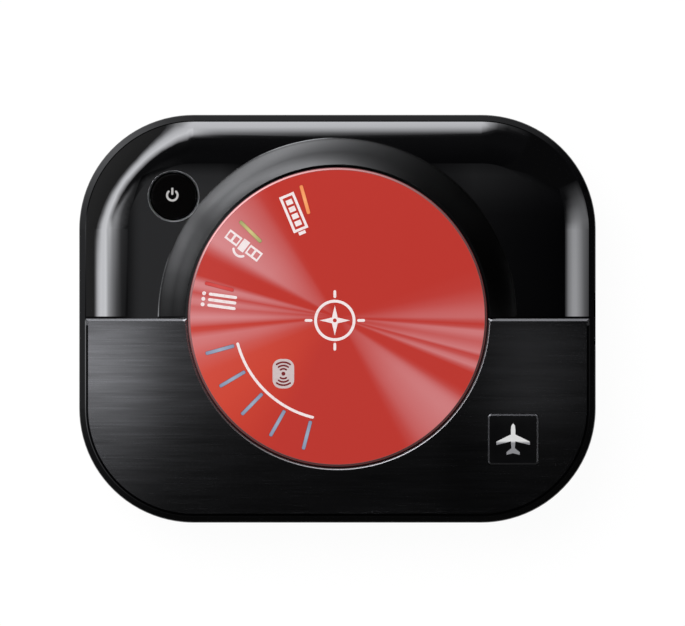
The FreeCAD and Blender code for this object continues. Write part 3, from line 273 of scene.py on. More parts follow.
def sphere_card(name, distance, stations, fine=6, step=2.5):
    """A card on a sphere. Stations maps a compass angle to knots of (angle from overhead, glow). Each
    stretch between knots is cut into fine strips, and each step of the compass makes a row."""
    angles = sorted(stations)
    knots = np.array([stations[a] for a in angles], float)
    at = np.arange(angles[0], angles[-1] + step / 2, step)
    count = knots.shape[1]
    across = np.linspace(0, count - 1, (count - 1) * fine + 1)
    points, glow = [], []
    for a in at:
        here = [[np.interp(a, angles, knots[:, k, part]) for k in range(count)] for part in (0, 1)]
        for zenith, level in zip(*[np.interp(across, range(count), values) for values in here]):
            z, c = math.radians(zenith), math.radians(a)
            points.append((distance * math.sin(z) * math.cos(c), distance * math.sin(z) * math.sin(c),
                           cad_box[1][2] + distance * math.cos(z)))
            glow.append(level)
    stage_card(name, points, grid_faces(len(at), len(across)), glow)


# %% [markdown]
# The big softbox reaches from the left of the receiver round to its top edge, and gives the long soft
# highlight along the rolled edge of the gloss face. Its twin on the right is weaker. Angles are in degrees:
# 0 is to the right and 90 is away from the user. A slope mirrors what lies at twice its own angle from
# overhead, so the rolled edge, which ends at some 30 degrees, shows the light down to 60 degrees.

# %% Softboxes
sphere_card("softbox_left", 8, {
    62: [(61, .03), (59, .03), (57, .03), (55, .03), (53, .03),
         (49, .03), (45, .03), (30, .03), (20, .02), (3, .01)],
    75: [(61, .1), (59, .15), (57, .25), (55, .25), (53, .1),
         (49, .04), (45, .03), (30, .03), (20, .02), (3, .01)],
    80: [(61, .1), (59, .8), (56.8, 1.5), (54.5, .9), (52, .35),
         (49, .08), (45, .03), (30, .03), (20, .02), (3, .01)],
    85: [(61, .1), (59, 1.6), (57, 4.2), (54, 3.4), (50, 1.6),
         (45, .15), (40, .03), (30, .03), (20, .02), (3, .01)],
    89: [(61, .1), (59, 1.9), (56.8, 6.4), (52.5, 5.3), (47.5, 3),
         (41.8, .12), (38, .04), (28, .03), (16, .02), (3, .01)],
    90.8: [(61, .1), (58.8, 2), (56.4, 6.3), (51.2, 5.8), (45, 3),
           (39.4, .12), (35, .04), (26, .03), (14, .02), (3, .02)],
    94.6: [(61.5, .12), (58.5, 2), (52, 5.4), (43, 6.5), (37.2, 3.3),
           (32, .08), (28, .04), (22, .02), (12, .03), (3, .02)],
    100: [(61.5, .12), (57.6, 1.6), (46.5, 5.3), (39.7, 6.6), (34.2, 3.3),
          (30, .07), (26, .04), (18, .02), (10, .03), (3, .02)],
    105: [(58, .15), (52, 1.1), (43, 5.3), (36.4, 6.5), (31.3, 3.3),
          (27, .06), (24, .03), (16, .02), (9, .03), (3, .02)],
    110: [(49.5, .16), (46, 1.2), (39, 5.4), (33.2, 6.6), (28.4, 3.2),
          (24.5, .05), (22, .03), (14, .02), (8, .05), (3, .02)],
    120: [(40.4, .15), (38.2, 1.2), (33.4, 5.3), (29, 6.6), (25, 3.2),
          (21.8, .04), (19, .03), (13, .03), (7, .07), (3, .03)],
    130: [(35.3, .13), (33.3, 1.2), (29.2, 5.3), (25.9, 6.7), (22.3, 2.9),
          (19, .04), (16, .03), (12, .03), (8, .09), (3, .03)],
    140: [(34.3, .14), (32.1, 1), (28, 5.3), (24.9, 6.8), (21.2, 3),
          (18.2, .04), (15, .03), (13, .04), (9, .14), (3, .04)],
    150: [(35, .15), (32.6, 1.1), (28.3, 5.3), (25, 6.8), (21.3, 2.8),
          (18.4, .05), (15.4, .1), (11.8, .64), (8, .17), (3, .04)],
    160: [(37.3, .16), (34.8, 1.2), (30.1, 5.6), (26.4, 6.8), (22.7, 3.1),
          (19.9, .22), (17.6, .5), (15, 1.55), (10, .42), (3, .05)],
    170: [(40.2, .2), (37.1, 1.5), (32.4, 6), (28.7, 6.8), (25.2, 3.5),
          (22.4, 1.75), (19.8, 2.4), (17.5, 2.4), (11, .55), (3, .05)],
    180: [(45.2, .25), (42.2, 1.5), (36.8, 6.1), (31, 6.9), (27.4, 3.5),
          (24, 2.25), (20, 1.3), (16, .6), (10, .14), (3, .03)],
    200: [(46, .2), (43, 1.2), (37.5, 5), (31.5, 5.5), (27.3, 3),
          (24, 2), (20, 1.3), (17, .7), (11, .2), (3, .06)],
    208: [(48, 0), (45, 0), (39, 0), (31.5, 0), (27.3, 0), (24, 0), (20, 0), (17, 0), (11, 0), (3, 0)],
}, step=1)
sphere_card("softbox_right", 8, {
    -25: [(60, 0), (58, 0), (56, 0), (52, 0), (46, 0), (41, 0), (36, 0), (31, 0), (27, 0), (24.5, 0)],
    -12: [(60, .03), (58, .18), (56, .5), (52, 1.3), (46, 2.3),
          (40, 3.2), (36, 3.1), (30, 1.8), (27, .5), (24.5, 0)],
    0: [(60, .03), (58, .2), (56, .55), (52, 1.35), (46, 2.6),
        (40, 3.6), (36, 3.5), (30, 2.1), (27, .6), (24.5, .05)],
    5: [(60, .05), (58, .4), (56, 1.2), (52, 1.5), (46, 2.1),
        (41, 2.3), (36, 1.95), (30.5, .9), (27, .2), (24.5, .04)],
    10: [(60, .05), (58, .45), (56, 1.3), (52, 1.3), (46, 1.5),
         (41, 1.4), (36, 1), (31.5, .5), (28, .1), (25, .03)],
    15: [(60, .05), (58, .45), (56, .95), (52, .93), (46, .85),
         (41, .7), (37, .45), (33, .22), (30, .05), (27, .03)],
    20: [(60, .05), (58, .2), (56, .4), (54, .5), (46, .4),
         (41, .27), (37, .13), (34, .04), (30, .03), (27, .03)],
    27: [(60, .04), (58, .04), (56, .04), (54, .04), (46, .04),
         (41, .04), (37, .04), (34, .04), (30, .04), (27, .03)],
})

# %% [markdown]
# A low strip of light stands at the upper left, just above the floor. Only steep edges mirror it. Its upper
# part, at 65 to 76 degrees from overhead, gives the narrow cut edges their thin bright lines. A dimmer part
# below it shows in the bevel round the whole face, which slopes by 40 degrees. The lowest part shows in the
# groove between the two halves of the casing, which is cut at 45 degrees.

# %% Low strip
# Compass angles, and the glow that the narrow edges and the wide bevel see there.
STRIP = {20: (.05, .01), 45: (.19, .04), 60: (.42, .16), 75: (.8, .2), 90: (1.1, .25), 105: (1.6, .4),
         120: (2, .75), 135: (2.1, 1), 150: (1.9, .75), 160: (.9, .5), 170: (.53, .33), 178: (.45, .25),
         182: (.38, .14), 200: (.12, .06), 225: (.05, .05), 240: (.03, .03), 255: (.02, .02)}
sphere_card("low_strip", 0.8, {
    angle: [(91, thin / 2), (86, thin / 2), (84, wide), (76.2, wide), (75.6, thin), (65, thin), (63, wide)]
    for angle, (thin, wide) in STRIP.items()
})

# %% [markdown]
# Flat surfaces mirror what hangs straight above them. Small cards close above the receiver, bright on
# the left and dark to the right, draw the soft gradients on the gloss face and on the brushed plate. A near
# card can also light one single place, which a far one can't. So three clear sheets add their glow to the
# softbox's highlight where it turns the upper left corner, and make it bend more softly there.

# %% Cards overhead
HIGH, LOW = 38 * MM, 31 * MM


def flat_card(name, height, along, across, least=0.0, step=0.5, clear=False):
    """A level card. Along and across map a place in mm to a glow; the two are multiplied."""
    xs = np.arange(min(along), max(along) + step / 2, step)
    ys = np.arange(min(across), max(across) + step / 2, step)
    points = [(x * MM, y * MM, height) for y in ys for x in xs]
    columns = np.interp(xs, list(along), list(along.values()))
    rows = np.interp(ys, list(across), list(across.values()))
    stage_card(name, points, grid_faces(len(ys), len(xs)), (np.outer(rows, columns) + least).ravel(), clear)


flat_card("clear_sheet_over_left_corner", HIGH,
          {-47.4: 0, -46.1: 1.5, -44.9: 2.2, -43.8: 1.65, -42.7: 1.1, -41.6: 1.16, -40.6: 1, -39.5: .7,
           -38.5: .4, -37.5: .22, -36.5: .12, -35.5: .06, -33: 0},
          {0: 0, 6: .2, 12: .65, 14: 1, 15.5: .6, 17: 0}, least=.02, clear=True)
flat_card("card_over_gloss", HIGH,
          {-33: .04, -31.9: .11, -31: .22, -30.2: .27, -24: .27, -18: .26, -15: .12, -12: .04, -8: .02,
           10: .02},
          {0: 1, 20: 1, 22: .85, 24: .15, 25: .1})
flat_card("clear_sheet_over_top_corner", HIGH,
          {-25: 0, -23.6: .4, -22.4: 1.05, -21.4: .68, -20.4: .38, -19.2: .16, -18: .06, -16: 0},
          {42.5: 0, 43.5: .15, 44.5: .6, 45.7: 1.7, 47: 2.8, 48.6: 3.1, 50.2: 2.9, 52: 2.2, 54: 1.3, 57: 0},
          clear=True)
flat_card("clear_sheet_over_left_edge", HIGH,
          {-63: 0, -62: .1, -60.7: .7, -58.8: 1.9, -57: 2.9, -55.4: 2.5, -53.8: 1.5, -52.3: .3, -50.9: 0},
          {-1: .9, 0: .93, 3: .97, 7: 1, 10: .8, 12: .5, 13: .22, 14.2: 0}, clear=True)
flat_card("flag_over_right", LOW + 0.5 * MM,
          {10: .02, 18: .1, 21: .14, 24: .12, 28: .08, 32: .045, 37: .03, 42: .02},
          {0: .15, 12: .2, 16: .3, 18: .5, 20: .8, 22: 1, 24: .6})
flat_card("card_over_plate", LOW,
          {-42: 1.75, -36: 1.7, -33: 1.45, -31: 1.15, -29: .85, -27: .55, -25: .38, -23: .3, -20: .2,
           -12: .08, 0: .04, 16: .04},
          {-32: 0, -28: .06, -25: .13, -22: .2, -18: .33, -15: .55, -12: .88, -10: .96, -8: 1.02, -2: 1.1,
           -0.2: 1.3, 0: 0}, least=.03)
flat_card("card_over_plate_right", LOW,
          {16: .03, 20: .05, 22: .06, 25: .12, 29: .17, 33: .13, 37: .07, 42: .03},
          {-32: 0, -19: .15, -16.5: .3, -14: .75, -12: .95, -8: 1, 0: 1}, least=.02)

# %% [markdown]
# ## Gloss black ABS
# The face is injection moulded in ABS from a mirror-polished tool and coated with a clear hard lacquer. The
# eye sees black, and a sharp highlight from the lacquer. The ramp round the dial is masked off and airbrushed
# with a satin graphite paint, whose fine metal flake gives a soft grey sheen. Its tone carries a painted
# highlight, lightest at the upper left and fading to black on the right, and a painted shade that darkens it
# towards the ramp's foot. One mask, the distance from the dial's axis, tells paint and gloss apart, and it
# also draws the small lip where the ramp meets the dial. The button's hole has a hair-thin ring of foil. The
# moulding's ripple is some 4 mm wide and hardly any height.

# %% Gloss ABS
RAMP_FOOT, RAMP_TOP = 27.4 * MM, 23.3 * MM
PAINT_EDGE, DIAL_SIDE_EDGE, FOOT_SHADE_WIDTH = 0.2 * MM, 0.1 * MM, 0.45 * MM
LIP_WIDTH, LIP_HEIGHT = 1.85 * MM, 0.22 * MM
RING_RADIUS = 3.93 * MM
# Compass angles and the painted highlight there: how light the ramp's tone is painted at each.
PAINTED_SHEEN_BY_ANGLE = [(0, .03), (30, .027), (45, .027), (60, .046), (75, .078), (90, .088), (120, .092), (132, .105),
         (141, .16), (149, .125), (157, .06), (166, .024), (174, .011), (180, .009)]


def distance_from(tree, x, y):
    """The distance of a surface point from an upright axis, and the level vector to it."""
    where = add(tree, "TexCoord", out="Object")
    away = add(tree, "VectorMath", [where, (x, y, 0)], operation="SUBTRACT")
    away = add(tree, "VectorMath", [away, (1, 1, 0)], operation="MULTIPLY")
    return add(tree, "VectorMath", [away], operation="LENGTH", out="Value"), away


made, tree = new_material("abs_gloss_black_lacquered_satin_ramp")
radius, away = distance_from(tree, DIAL_X, DIAL_Y)
beyond = add(tree, "MapRange", [radius, RAMP_FOOT - PAINT_EDGE, RAMP_FOOT, 0, 1])
inside = add(tree, "MapRange", [radius, RAMP_TOP - DIAL_SIDE_EDGE, RAMP_TOP, 1, 0])
gloss = add(tree, "Math", [beyond, inside], operation="MAXIMUM")
haze = noise(tree, 9, 3)
polished = add(tree, "MapRange", [haze, 0.3, 0.7, 0.025, 0.045])
satin = add(tree, "MapRange", [haze, 0.3, 0.7, 0.30, 0.33])
rough = blend(tree, gloss, satin, polished, kind="FLOAT")
ripple = noise(tree, 4, 1)
bump = add(tree, "Bump", {"Height": ripple, "Distance": 0.0006 * MM, "Strength": 0.5})
lip = add(tree, "MapRange", [radius, RAMP_TOP, RAMP_TOP + LIP_WIDTH, 1, 0])
lip = add(tree, "Math", [lip, 2.0], operation="POWER")
bump = add(tree, "Bump", {"Height": lip, "Distance": LIP_HEIGHT, "Strength": 1.0, "Normal": bump})
from_button = distance_from(tree, BUTTON_X, BUTTON_Y)[0]
ring = add(tree, "Math", [from_button, RING_RADIUS], operation="LESS_THAN")
turn = add(tree, "TexGradient", [away], gradient_type="RADIAL", out="Fac")
# Painted highlight: the ramp's tone by compass angle, lightest at the upper left.
painted_sheen = add(tree, "ValToRGB", [turn], stops=[(0.5 + a / 360, v) for a, v in PAINTED_SHEEN_BY_ANGLE])
# Painted shade: the ramp's tone darkens to a quarter over its last 0.45 mm towards the foot.
painted_foot_shade = add(tree, "MapRange", [radius, RAMP_FOOT - FOOT_SHADE_WIDTH, RAMP_FOOT, 1, 0.25])
painted_sheen = add(tree, "VectorMath", {0: painted_sheen, "Scale": painted_foot_shade}, operation="SCALE")
colour = blend(tree, gloss, painted_sheen, linear("#040405"))
colour = blend(tree, ring, colour, linear("#D8D8DA"))
rough = blend(tree, ring, rough, 0.42, kind="FLOAT")
metal = add(tree, "Math", [1.0, gloss], operation="SUBTRACT")
metal = add(tree, "Math", [metal, ring], operation="MAXIMUM")
surface = add(tree, "BsdfPrincipled", {
    "Base Color": colour, "Metallic": metal, "Roughness": rough, "IOR": 1.54, "Normal": bump,
    "Coat Weight": gloss, "Coat Roughness": 0.02, "Coat IOR": 1.5})
add(tree, "OutputMaterial", [surface])
paint(made, "top_shell")

# %% [markdown]
# The button is pressed by a fingertip, so it is moulded in silicone rubber, which is blacker and softer to
# look at than the lacquer round it: a low refractive index and a fine blasted skin leave hardly any
# highlight.

# %% Button rubber
made, tree = new_material("silicone_rubber_black_moulded")
skin = noise(tree, 0.12, 2)
shade = add(tree, "ValToRGB", [skin], stops=[(0.3, linear("#020202")), (0.7, linear("#040303"))])
rough = add(tree, "MapRange", [skin, 0.3, 0.7, 0.26, 0.32])
bump = add(tree, "Bump", {"Height": skin, "Distance": 0.001 * MM, "Strength": 0.3})
surface = add(tree, "BsdfPrincipled", {
    "Base Color": shade, "Roughness": rough, "IOR": 1.41, "Specular IOR Level": 0.05, "Normal": bump})
add(tree, "OutputMaterial", [surface])
paint(made, "power_button")

# %% [markdown]
# ## Satin black ABS
# The lower casing and the battery door come from a spark-eroded tool, whose fine pits are about 0.3 mm
# apart. They break the highlight up into a soft satin. The pits are drawn at 0.35 mm so that they
# show in a close view.

# %% Satin ABS
made, tree = new_material("abs_satin_black_spark_textured")
pits = noise(tree, 0.35, 2)
wear = noise(tree, 14, 4)
rough = add(tree, "MapRange", [wear, 0.3, 0.7, 0.42, 0.52])
shade = add(tree, "ValToRGB", [pits], stops=[(0.3, linear("#0B0B0C")), (0.7, linear("#101011"))])
bump = add(tree, "Bump", {"Height": pits, "Distance": 0.02 * MM, "Strength": 0.5})
surface = add(tree, "BsdfPrincipled", {
    "Base Color": shade, "Roughness": rough, "IOR": 1.54, "Normal": bump})
add(tree, "OutputMaterial", [surface])
paint(made, "bottom_shell", "battery_door")

# %% [markdown]
# ## The red dial
# The dial is a deep red polycarbonate disc. The reflection of a lathe-turned face is painted into its colour:
# pale fans and streaks that run out from the middle, as light does on a turned face, and a warmer, lighter
# red towards the left and lower left. Real grooves under a lamp would show only two fans, so all of them are
# painted highlights: a colour ramp round the axis that grows stronger towards the rim. A ramp holds up to 32
# stops, so each half of the dial has its own. The disc is cut out with a diamond tool, which leaves a bright
# line 0.25 mm wide, and outside it a dark rounded rim.

# %% Dial
# Where the bright line begins and ends, as distances from the rim. Each is a pair, for a soft edge.
LINE_BEGINS, LINE_ENDS = (0.42 * MM, 0.34 * MM), (0.14 * MM, 0.08 * MM)
# Angles in degrees round the dial, 0 to the right, and how strong the painted highlight is there.
LEFT_STREAK_HIGHLIGHTS = [(100, 0), (118, 0), (122, .05), (126, .3), (130, .45), (134, .62), (140, .82), (146, .96),
            (148.6, 1), (150.3, .72), (152.5, .25), (155, 0), (163.3, 0), (164.6, .35), (166.2, .95),
            (168.3, .8), (169.8, .1), (171.3, .35), (172.3, .8), (174.2, .75), (176.2, .28), (178, .68),
            (180, .97), (182.3, .62), (183.7, 0), (186, .08), (188, .7), (191, .6), (196, .28), (203, .06),
            (216, .03), (236, 0)]
RIGHT_STREAK_HIGHLIGHTS = [(-80, 0), (-62.5, 0), (-59, .13), (-55, .38), (-50, .57), (-45, .7), (-41, .8), (-38.5, .8),
             (-36, .72), (-34, .42), (-32, .1), (-30, 0), (-22, 0), (-21, .3), (-20, .82), (-18, .6),
             (-16.3, .03), (-15.3, .1), (-14, .78), (-11.5, .45), (-9.5, .32), (-6.5, .76), (-5.2, .7),
             (-4, .03), (-1.8, 0), (-1, .45), (.5, .52), (3, .42), (7, .2), (12, .04), (20, 0), (60, 0)]
made, tree = new_material("polycarbonate_red_painted_turned_sheen")
radius, from_axis = distance_from(tree, DIAL_X, DIAL_Y)
turn = add(tree, "TexGradient", [from_axis], gradient_type="RADIAL", out="Fac")
half_turned = add(tree, "VectorMath", [from_axis, (-1, -1, 0)], operation="MULTIPLY")
left_turn = add(tree, "TexGradient", [half_turned], gradient_type="RADIAL", out="Fac")
# Painted highlights: pale fans round the axis, where a turned face would mirror the lights.
streaks = add(tree, "Math", [
    add(tree, "ValToRGB", [turn], stops=[(0.5 + a / 360, v) for a, v in RIGHT_STREAK_HIGHLIGHTS]),
    add(tree, "ValToRGB", [left_turn], stops=[((a - 180) / 360 + 0.5, v) for a, v in LEFT_STREAK_HIGHLIGHTS]),
], operation="MAXIMUM")
growth = add(tree, "ValToRGB", [add(tree, "Math", [radius, DIAL_RADIUS], operation="DIVIDE")],
             stops=[(0, 0), (0.15, .3), (0.28, .46), (0.4, .64), (0.53, .82), (0.7, .93), (0.9, 1)])
streaks = add(tree, "Math", [streaks, growth], operation="MULTIPLY")
# Painted sheen: a warmer, lighter red on the left and lower left of the dial, growing towards the rim.
warm_sheen = add(tree, "MapRange", [left_turn, 0.49, 0.56, 0, 1])
warm_sheen_fade = add(tree, "MapRange", [left_turn, 0.60, 0.68, 1, 0])
warm_sheen = add(tree, "Math", [warm_sheen, warm_sheen_fade], operation="MULTIPLY")
warm_sheen = add(tree, "Math", [warm_sheen, growth], operation="MULTIPLY")
red = blend(tree, warm_sheen, linear("#C73930"), linear("#D8442E"))
# Painted highlight: the fans lay a pale pink over the red.
colour = blend(tree, streaks, red, linear("#E09092"))
edge = add(tree, "MapRange", [radius, *[DIAL_RADIUS - inset for inset in LINE_BEGINS], 0, 1])
rounded = add(tree, "MapRange", [radius, *[DIAL_RADIUS - inset for inset in LINE_ENDS], 1, 0])
cut_edge = add(tree, "Math", [edge, rounded], operation="MULTIPLY")
metal = add(tree, "Math", [cut_edge, 0.82], operation="MULTIPLY")
colour = blend(tree, edge, colour, linear("#5A1817"))
colour = blend(tree, cut_edge, colour, linear("#D29494"))
grain = noise(tree, 0.3, 2)
rough = add(tree, "MapRange", [grain, 0.3, 0.7, 0.29, 0.31])
rough = blend(tree, cut_edge, rough, 0.12, kind="FLOAT")
surface = add(tree, "BsdfPrincipled", {
    "Base Color": colour, "Metallic": metal, "Roughness": rough, "IOR": 1.58,
    "Specular Tint": linear("#FFD2D2"), "Coat Weight": 0.6, "Coat Roughness": 0.12, "Coat IOR": 1.5})
add(tree, "OutputMaterial", [surface])
paint(made, "dial_disc")

# %% [markdown]
# ## The brushed plate
# Aluminium, brushed along its length with about 180 grit and anodised black. Grit scratches are some
# 0.08 mm wide, too fine to show here, so they are drawn 0.25 mm apart and 9 mm long. Brushing spreads a
# reflection across the scratches and keeps it sharp along them: that is anisotropy. The bevels are one
# and the same cut metal, but their tone is painted in three steps: darker on the outer bevel as painted
# shade, lighter along the straight edge and lightest round the dial as painted highlight, on top of the
# bright lines that they really mirror.

# %% Brushed aluminium
# The arc's bevel lies within this distance of the dial's axis, and the straight one above this line.
ARC_EDGE, SPLIT_EDGE = 23.6 * MM, -1 * MM
made, tree = new_material("aluminium_brushed_black_anodised")
where = add(tree, "TexCoord", out="Object")
combed = add(tree, "VectorMath", [where, (1 / (9 * MM), 1 / (0.25 * MM), 0)], operation="MULTIPLY")
scratches = add(tree, "TexNoise", {"Vector": combed, "Scale": 1.0, "Detail": 4, "Roughness": 0.5}, out="Fac")
blotted = add(tree, "VectorMath", [where, (1 / (16 * MM), 1 / (1.5 * MM), 0)], operation="MULTIPLY")
bands = add(tree, "TexNoise", {"Vector": blotted, "Scale": 1.0, "Detail": 3}, out="Fac")
tone = add(tree, "Math", [scratches, bands], operation="ADD")
shade = add(tree, "ValToRGB", [add(tree, "Math", [tone, 0.5], operation="MULTIPLY")],
            stops=[(0.3, linear("#4A4A4B")), (0.5, linear("#5A5A5B")), (0.7, linear("#68686A"))])
upright = add(tree, "SeparateXYZ", [add(tree, "NewGeometry", out="True Normal")], out="Z")
face = add(tree, "MapRange", [upright, 0.9, 0.95, 0, 1])
radius = distance_from(tree, DIAL_X, DIAL_Y)[0]
round_dial = add(tree, "Math", [radius, ARC_EDGE], operation="LESS_THAN")
northing = add(tree, "SeparateXYZ", [where], out="Y")
along_split = add(tree, "Math", [northing, SPLIT_EDGE], operation="GREATER_THAN")
# Painted shade and highlight: one bevel in three tones, darkest outside, lightest round the dial.
shaded_bevel_tone, half_lit_bevel_tone, lit_bevel_tone = linear("#1C1C1E"), linear("#8A8A8C"), linear("#DEDEE0")
bevel = blend(tree, along_split, shaded_bevel_tone, half_lit_bevel_tone)
bevel = blend(tree, round_dial, bevel, lit_bevel_tone)
shade = blend(tree, face, bevel, shade)
rough = add(tree, "MapRange", [scratches, 0.3, 0.7, 0.22, 0.28])
depth = add(tree, "Math", [face, 0.25], operation="MULTIPLY")
bump = add(tree, "Bump", {"Height": scratches, "Distance": 0.002 * MM, "Strength": depth})
surface = add(tree, "BsdfPrincipled", {
    "Base Color": shade, "Metallic": 1.0, "Roughness": rough, "Normal": bump,
    "Anisotropic": 0.5, "Tangent": add(tree, "Tangent", direction_type="RADIAL", axis="Z")})
add(tree, "OutputMaterial", [surface])
paint(made, "trim_plate")

# %% [markdown]
# ## The nameplate
# The small plaque is cast acrylic, black and polished, with silver foil on its bevel. The plaque is a copy
# of the CAD mesh whose face is lower by a coat of ink, so that its picture stands no higher than the real
# one.

# %% Nameplate
INK = 0.02 * MM
made, tree = new_material("acrylic_black_polished")
wipe = noise(tree, 2.5, 4)
shade = add(tree, "ValToRGB", [wipe], stops=[(0.3, linear("#060607")), (0.7, linear("#0A0A0B"))])
rough = add(tree, "MapRange", [wipe, 0.3, 0.7, 0.05, 0.09])
upright = add(tree, "SeparateXYZ", [add(tree, "NewGeometry", out="True Normal")], out="Z")
slanted = add(tree, "MapRange", [upright, 0.9, 0.95, 1, 0])
rising = add(tree, "Math", [upright, 0.5], operation="GREATER_THAN")
foil = add(tree, "Math", [slanted, rising], operation="MULTIPLY")
shade = blend(tree, foil, shade, linear("#C4C4C8"))
rough = blend(tree, foil, rough, 0.2, kind="FLOAT")
surface = add(tree, "BsdfPrincipled", {
    "Base Color": shade, "Metallic": foil, "Roughness": rough, "IOR": 1.49})
add(tree, "OutputMaterial", [surface])
paint(made, "nameplate")


def piece(name, mesh, body, finish):
    """A new piece that rides on a CAD body."""
    mesh.materials.clear()
    mesh.materials.append(finish)
    made = bpy.data.objects.new(name, mesh)
    bpy.context.scene.collection.objects.link(made)
    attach(made, body)
    print(name, len(mesh.polygons), "faces, rides on", body)
    return made


plaque_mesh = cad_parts["nameplate"].data.copy()
for vertex in plaque_mesh.vertices:
    if vertex.co.z > BADGE_TOP - INK / 2:
        vertex.co.z -= INK
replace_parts(piece("nameplate_plaque", plaque_mesh, "case", made), "nameplate")

# %% [markdown]
# ## Printed marks
# Pad-printed ink is a real layer, about 0.02 mm thick. So each mark is a thin closed sheet: its outlines are
# filled as a flat curve, where an outline inside another makes a hole, given a thickness and turned
# into a mesh. The marks are plain pictures that any such device could carry.

# %% Outlines
def circle(x, y, r, count=48):
    """Points round a circle."""
    turns = np.linspace(0, math.tau, count, endpoint=False)
    return [(x + r * math.cos(a), y + r * math.sin(a)) for a in turns]


def arc(x, y, r, start, end, count=24):
    """Points along an arc between two angles in degrees."""
    return [(x + r * math.cos(a), y + r * math.sin(a)) for a in np.radians(np.linspace(start, end, count))]


def band(line, width, round_ends=6):
    """The outline of a line of some width with round ends."""
    line = np.array(line, float)
    ways = np.gradient(line, axis=0)
    ways *= width / 2 / np.linalg.norm(ways, axis=1)[:, None]
    sides = np.stack([-ways[:, 1], ways[:, 0]], 1)
    turns = np.linspace(0, math.pi, round_ends + 2)[1:-1]

    def end(centre, side):
        way = np.array([side[1], -side[0]])
        return [centre + side * math.cos(t) + way * math.sin(t) for t in turns]

    return [*(line + sides), *end(line[-1], sides[-1]), *(line - sides)[::-1], *end(line[0], -sides[0])]


def box(x, y, width, height):
    """A rectangle round a middle."""
    return [(x + i * width / 2, y + j * height / 2) for i, j in ((-1, -1), (1, -1), (1, 1), (-1, 1))]


def placed(outlines, x, y, turn=0):
    """Outlines turned by some degrees and moved to a place in mm."""
    c, s = math.cos(math.radians(turn)), math.sin(math.radians(turn))
    return [[(x + c * u - s * v, y + s * u + c * v) for u, v in outline] for outline in outlines]


def on_dial(outlines, angle, radius, turn=0):
    """Outlines placed at an angle and a distance in mm from the dial's middle."""
    a = math.radians(angle)
    return placed(outlines, DIAL_X / MM + radius * math.cos(a), DIAL_Y / MM + radius * math.sin(a), turn)


def printed(name, outlines, face, body, ink, thick=INK):
    """A sheet of ink whose underside lies just in the face, at that height in metres."""
    curve = bpy.data.curves.new(name, "CURVE")
    curve.dimensions = "2D"
    curve.fill_mode = "BOTH"
    curve.extrude = thick / 2
    for outline in outlines:
        spline = curve.splines.new("POLY")
        spline.points.add(len(outline) - 1)
        spline.use_cyclic_u = True
        for point, (x, y) in zip(spline.points, outline):
            point.co = (x * MM, y * MM, 0, 1)
    mesh = bpy.data.meshes.new_from_object(bpy.data.objects.new(name + "_outline", curve))
    mesh.transform(Matrix.Translation((0, 0, face + thick * 0.45)))
    solid = bmesh.new()
    solid.from_mesh(mesh)
    bmesh.ops.remove_doubles(solid, verts=solid.verts, dist=0.0005 * MM)
    bmesh.ops.recalc_face_normals(solid, faces=solid.faces)
    solid.to_mesh(mesh)
    solid.free()
    return piece(name, mesh, body, ink)


print("a band of 10 points has an outline of", len(band(arc(0, 0, 5, 0, 90, 10), 1)))

# %% [markdown]
# Pad-printing ink is a thick lacquer with pigment, slightly uneven in cover and half matt when it is dry.
# Over the red dial the white takes on a little of the red.

# %% Inks
def ink(name, thin, full, grain_mm=0.6):
    """Printing ink, patchy between two tones."""
    made, tree = new_material(name)
    cover = noise(tree, grain_mm, 3)
    shade = add(tree, "ValToRGB", [cover], stops=[(0.25, linear(thin)), (0.5, linear(full))])
    rough = add(tree, "MapRange", [cover, 0.3, 0.7, 0.5, 0.4])
    surface = add(tree, "BsdfPrincipled", {"Base Color": shade, "Roughness": rough, "IOR": 1.5})
    add(tree, "OutputMaterial", [surface])
    return made


white_ink = ink("ink_white_pad_printed", "#F5DCDC", "#FDF0F0")
pale_ink = ink("ink_pale_grey_pad_printed", "#CDB9B9", "#D6C6C6")
dark_ink = ink("ink_dark_red_pad_printed", "#6E1F22", "#7C2528")
grey_ink = ink("ink_grey_pad_printed", "#ADABAA", "#BDBBBA")

# %% [markdown]
# Beside each status light stands a picture of what it tells: a battery, a satellite and a list for the track
# log. They are laid out along x and turned so that they are read towards the middle of the dial.

# %% Status pictures
battery_mark = [box(-0.3, 0, 5.9, 2.4), box(-0.3, 0, 5.1, 1.6), box(3.05, 0, 0.5, 1.1)]
battery_mark += [box(-2 + 1.15 * i, 0, 0.8, 1.0) for i in range(4)]
satellite_mark = [box(0, 0.1, 1.1, 1.9)]
for side in (-1, 1):
    satellite_mark += [box(1.95 * side, 0.1, 2.3, 1.6), box(1.4 * side, 0.1, 0.72, 0.95),
                       box(2.48 * side, 0.1, 0.72, 0.95)]
satellite_mark += [band(arc(0, -0.55, 1.15, 215, 325, 12), 0.36)]
list_mark = []
for row in (0.85, 0, -0.85):
    list_mark += [circle(-2.45, row, 0.3, 20), band([(-1.5, row), (0, row), (2.4, row)], 0.46)]
STATUS = {"battery": (battery_mark, 112.7, 17.0), "satellite": (satellite_mark, 143.0, 18.0),
          "list": (list_mark, 172.2, 18.2)}
for name, (outlines, angle, radius) in STATUS.items():
    printed("mark_" + name, on_dial(outlines, angle, radius, angle + 180), DIAL_TOP, "case",
            white_ink)

# %% [markdown]
# A thin arc ties the five link lights together, and a rounded tablet beside it carries radio waves. In the
# middle of the dial is a small compass rose.

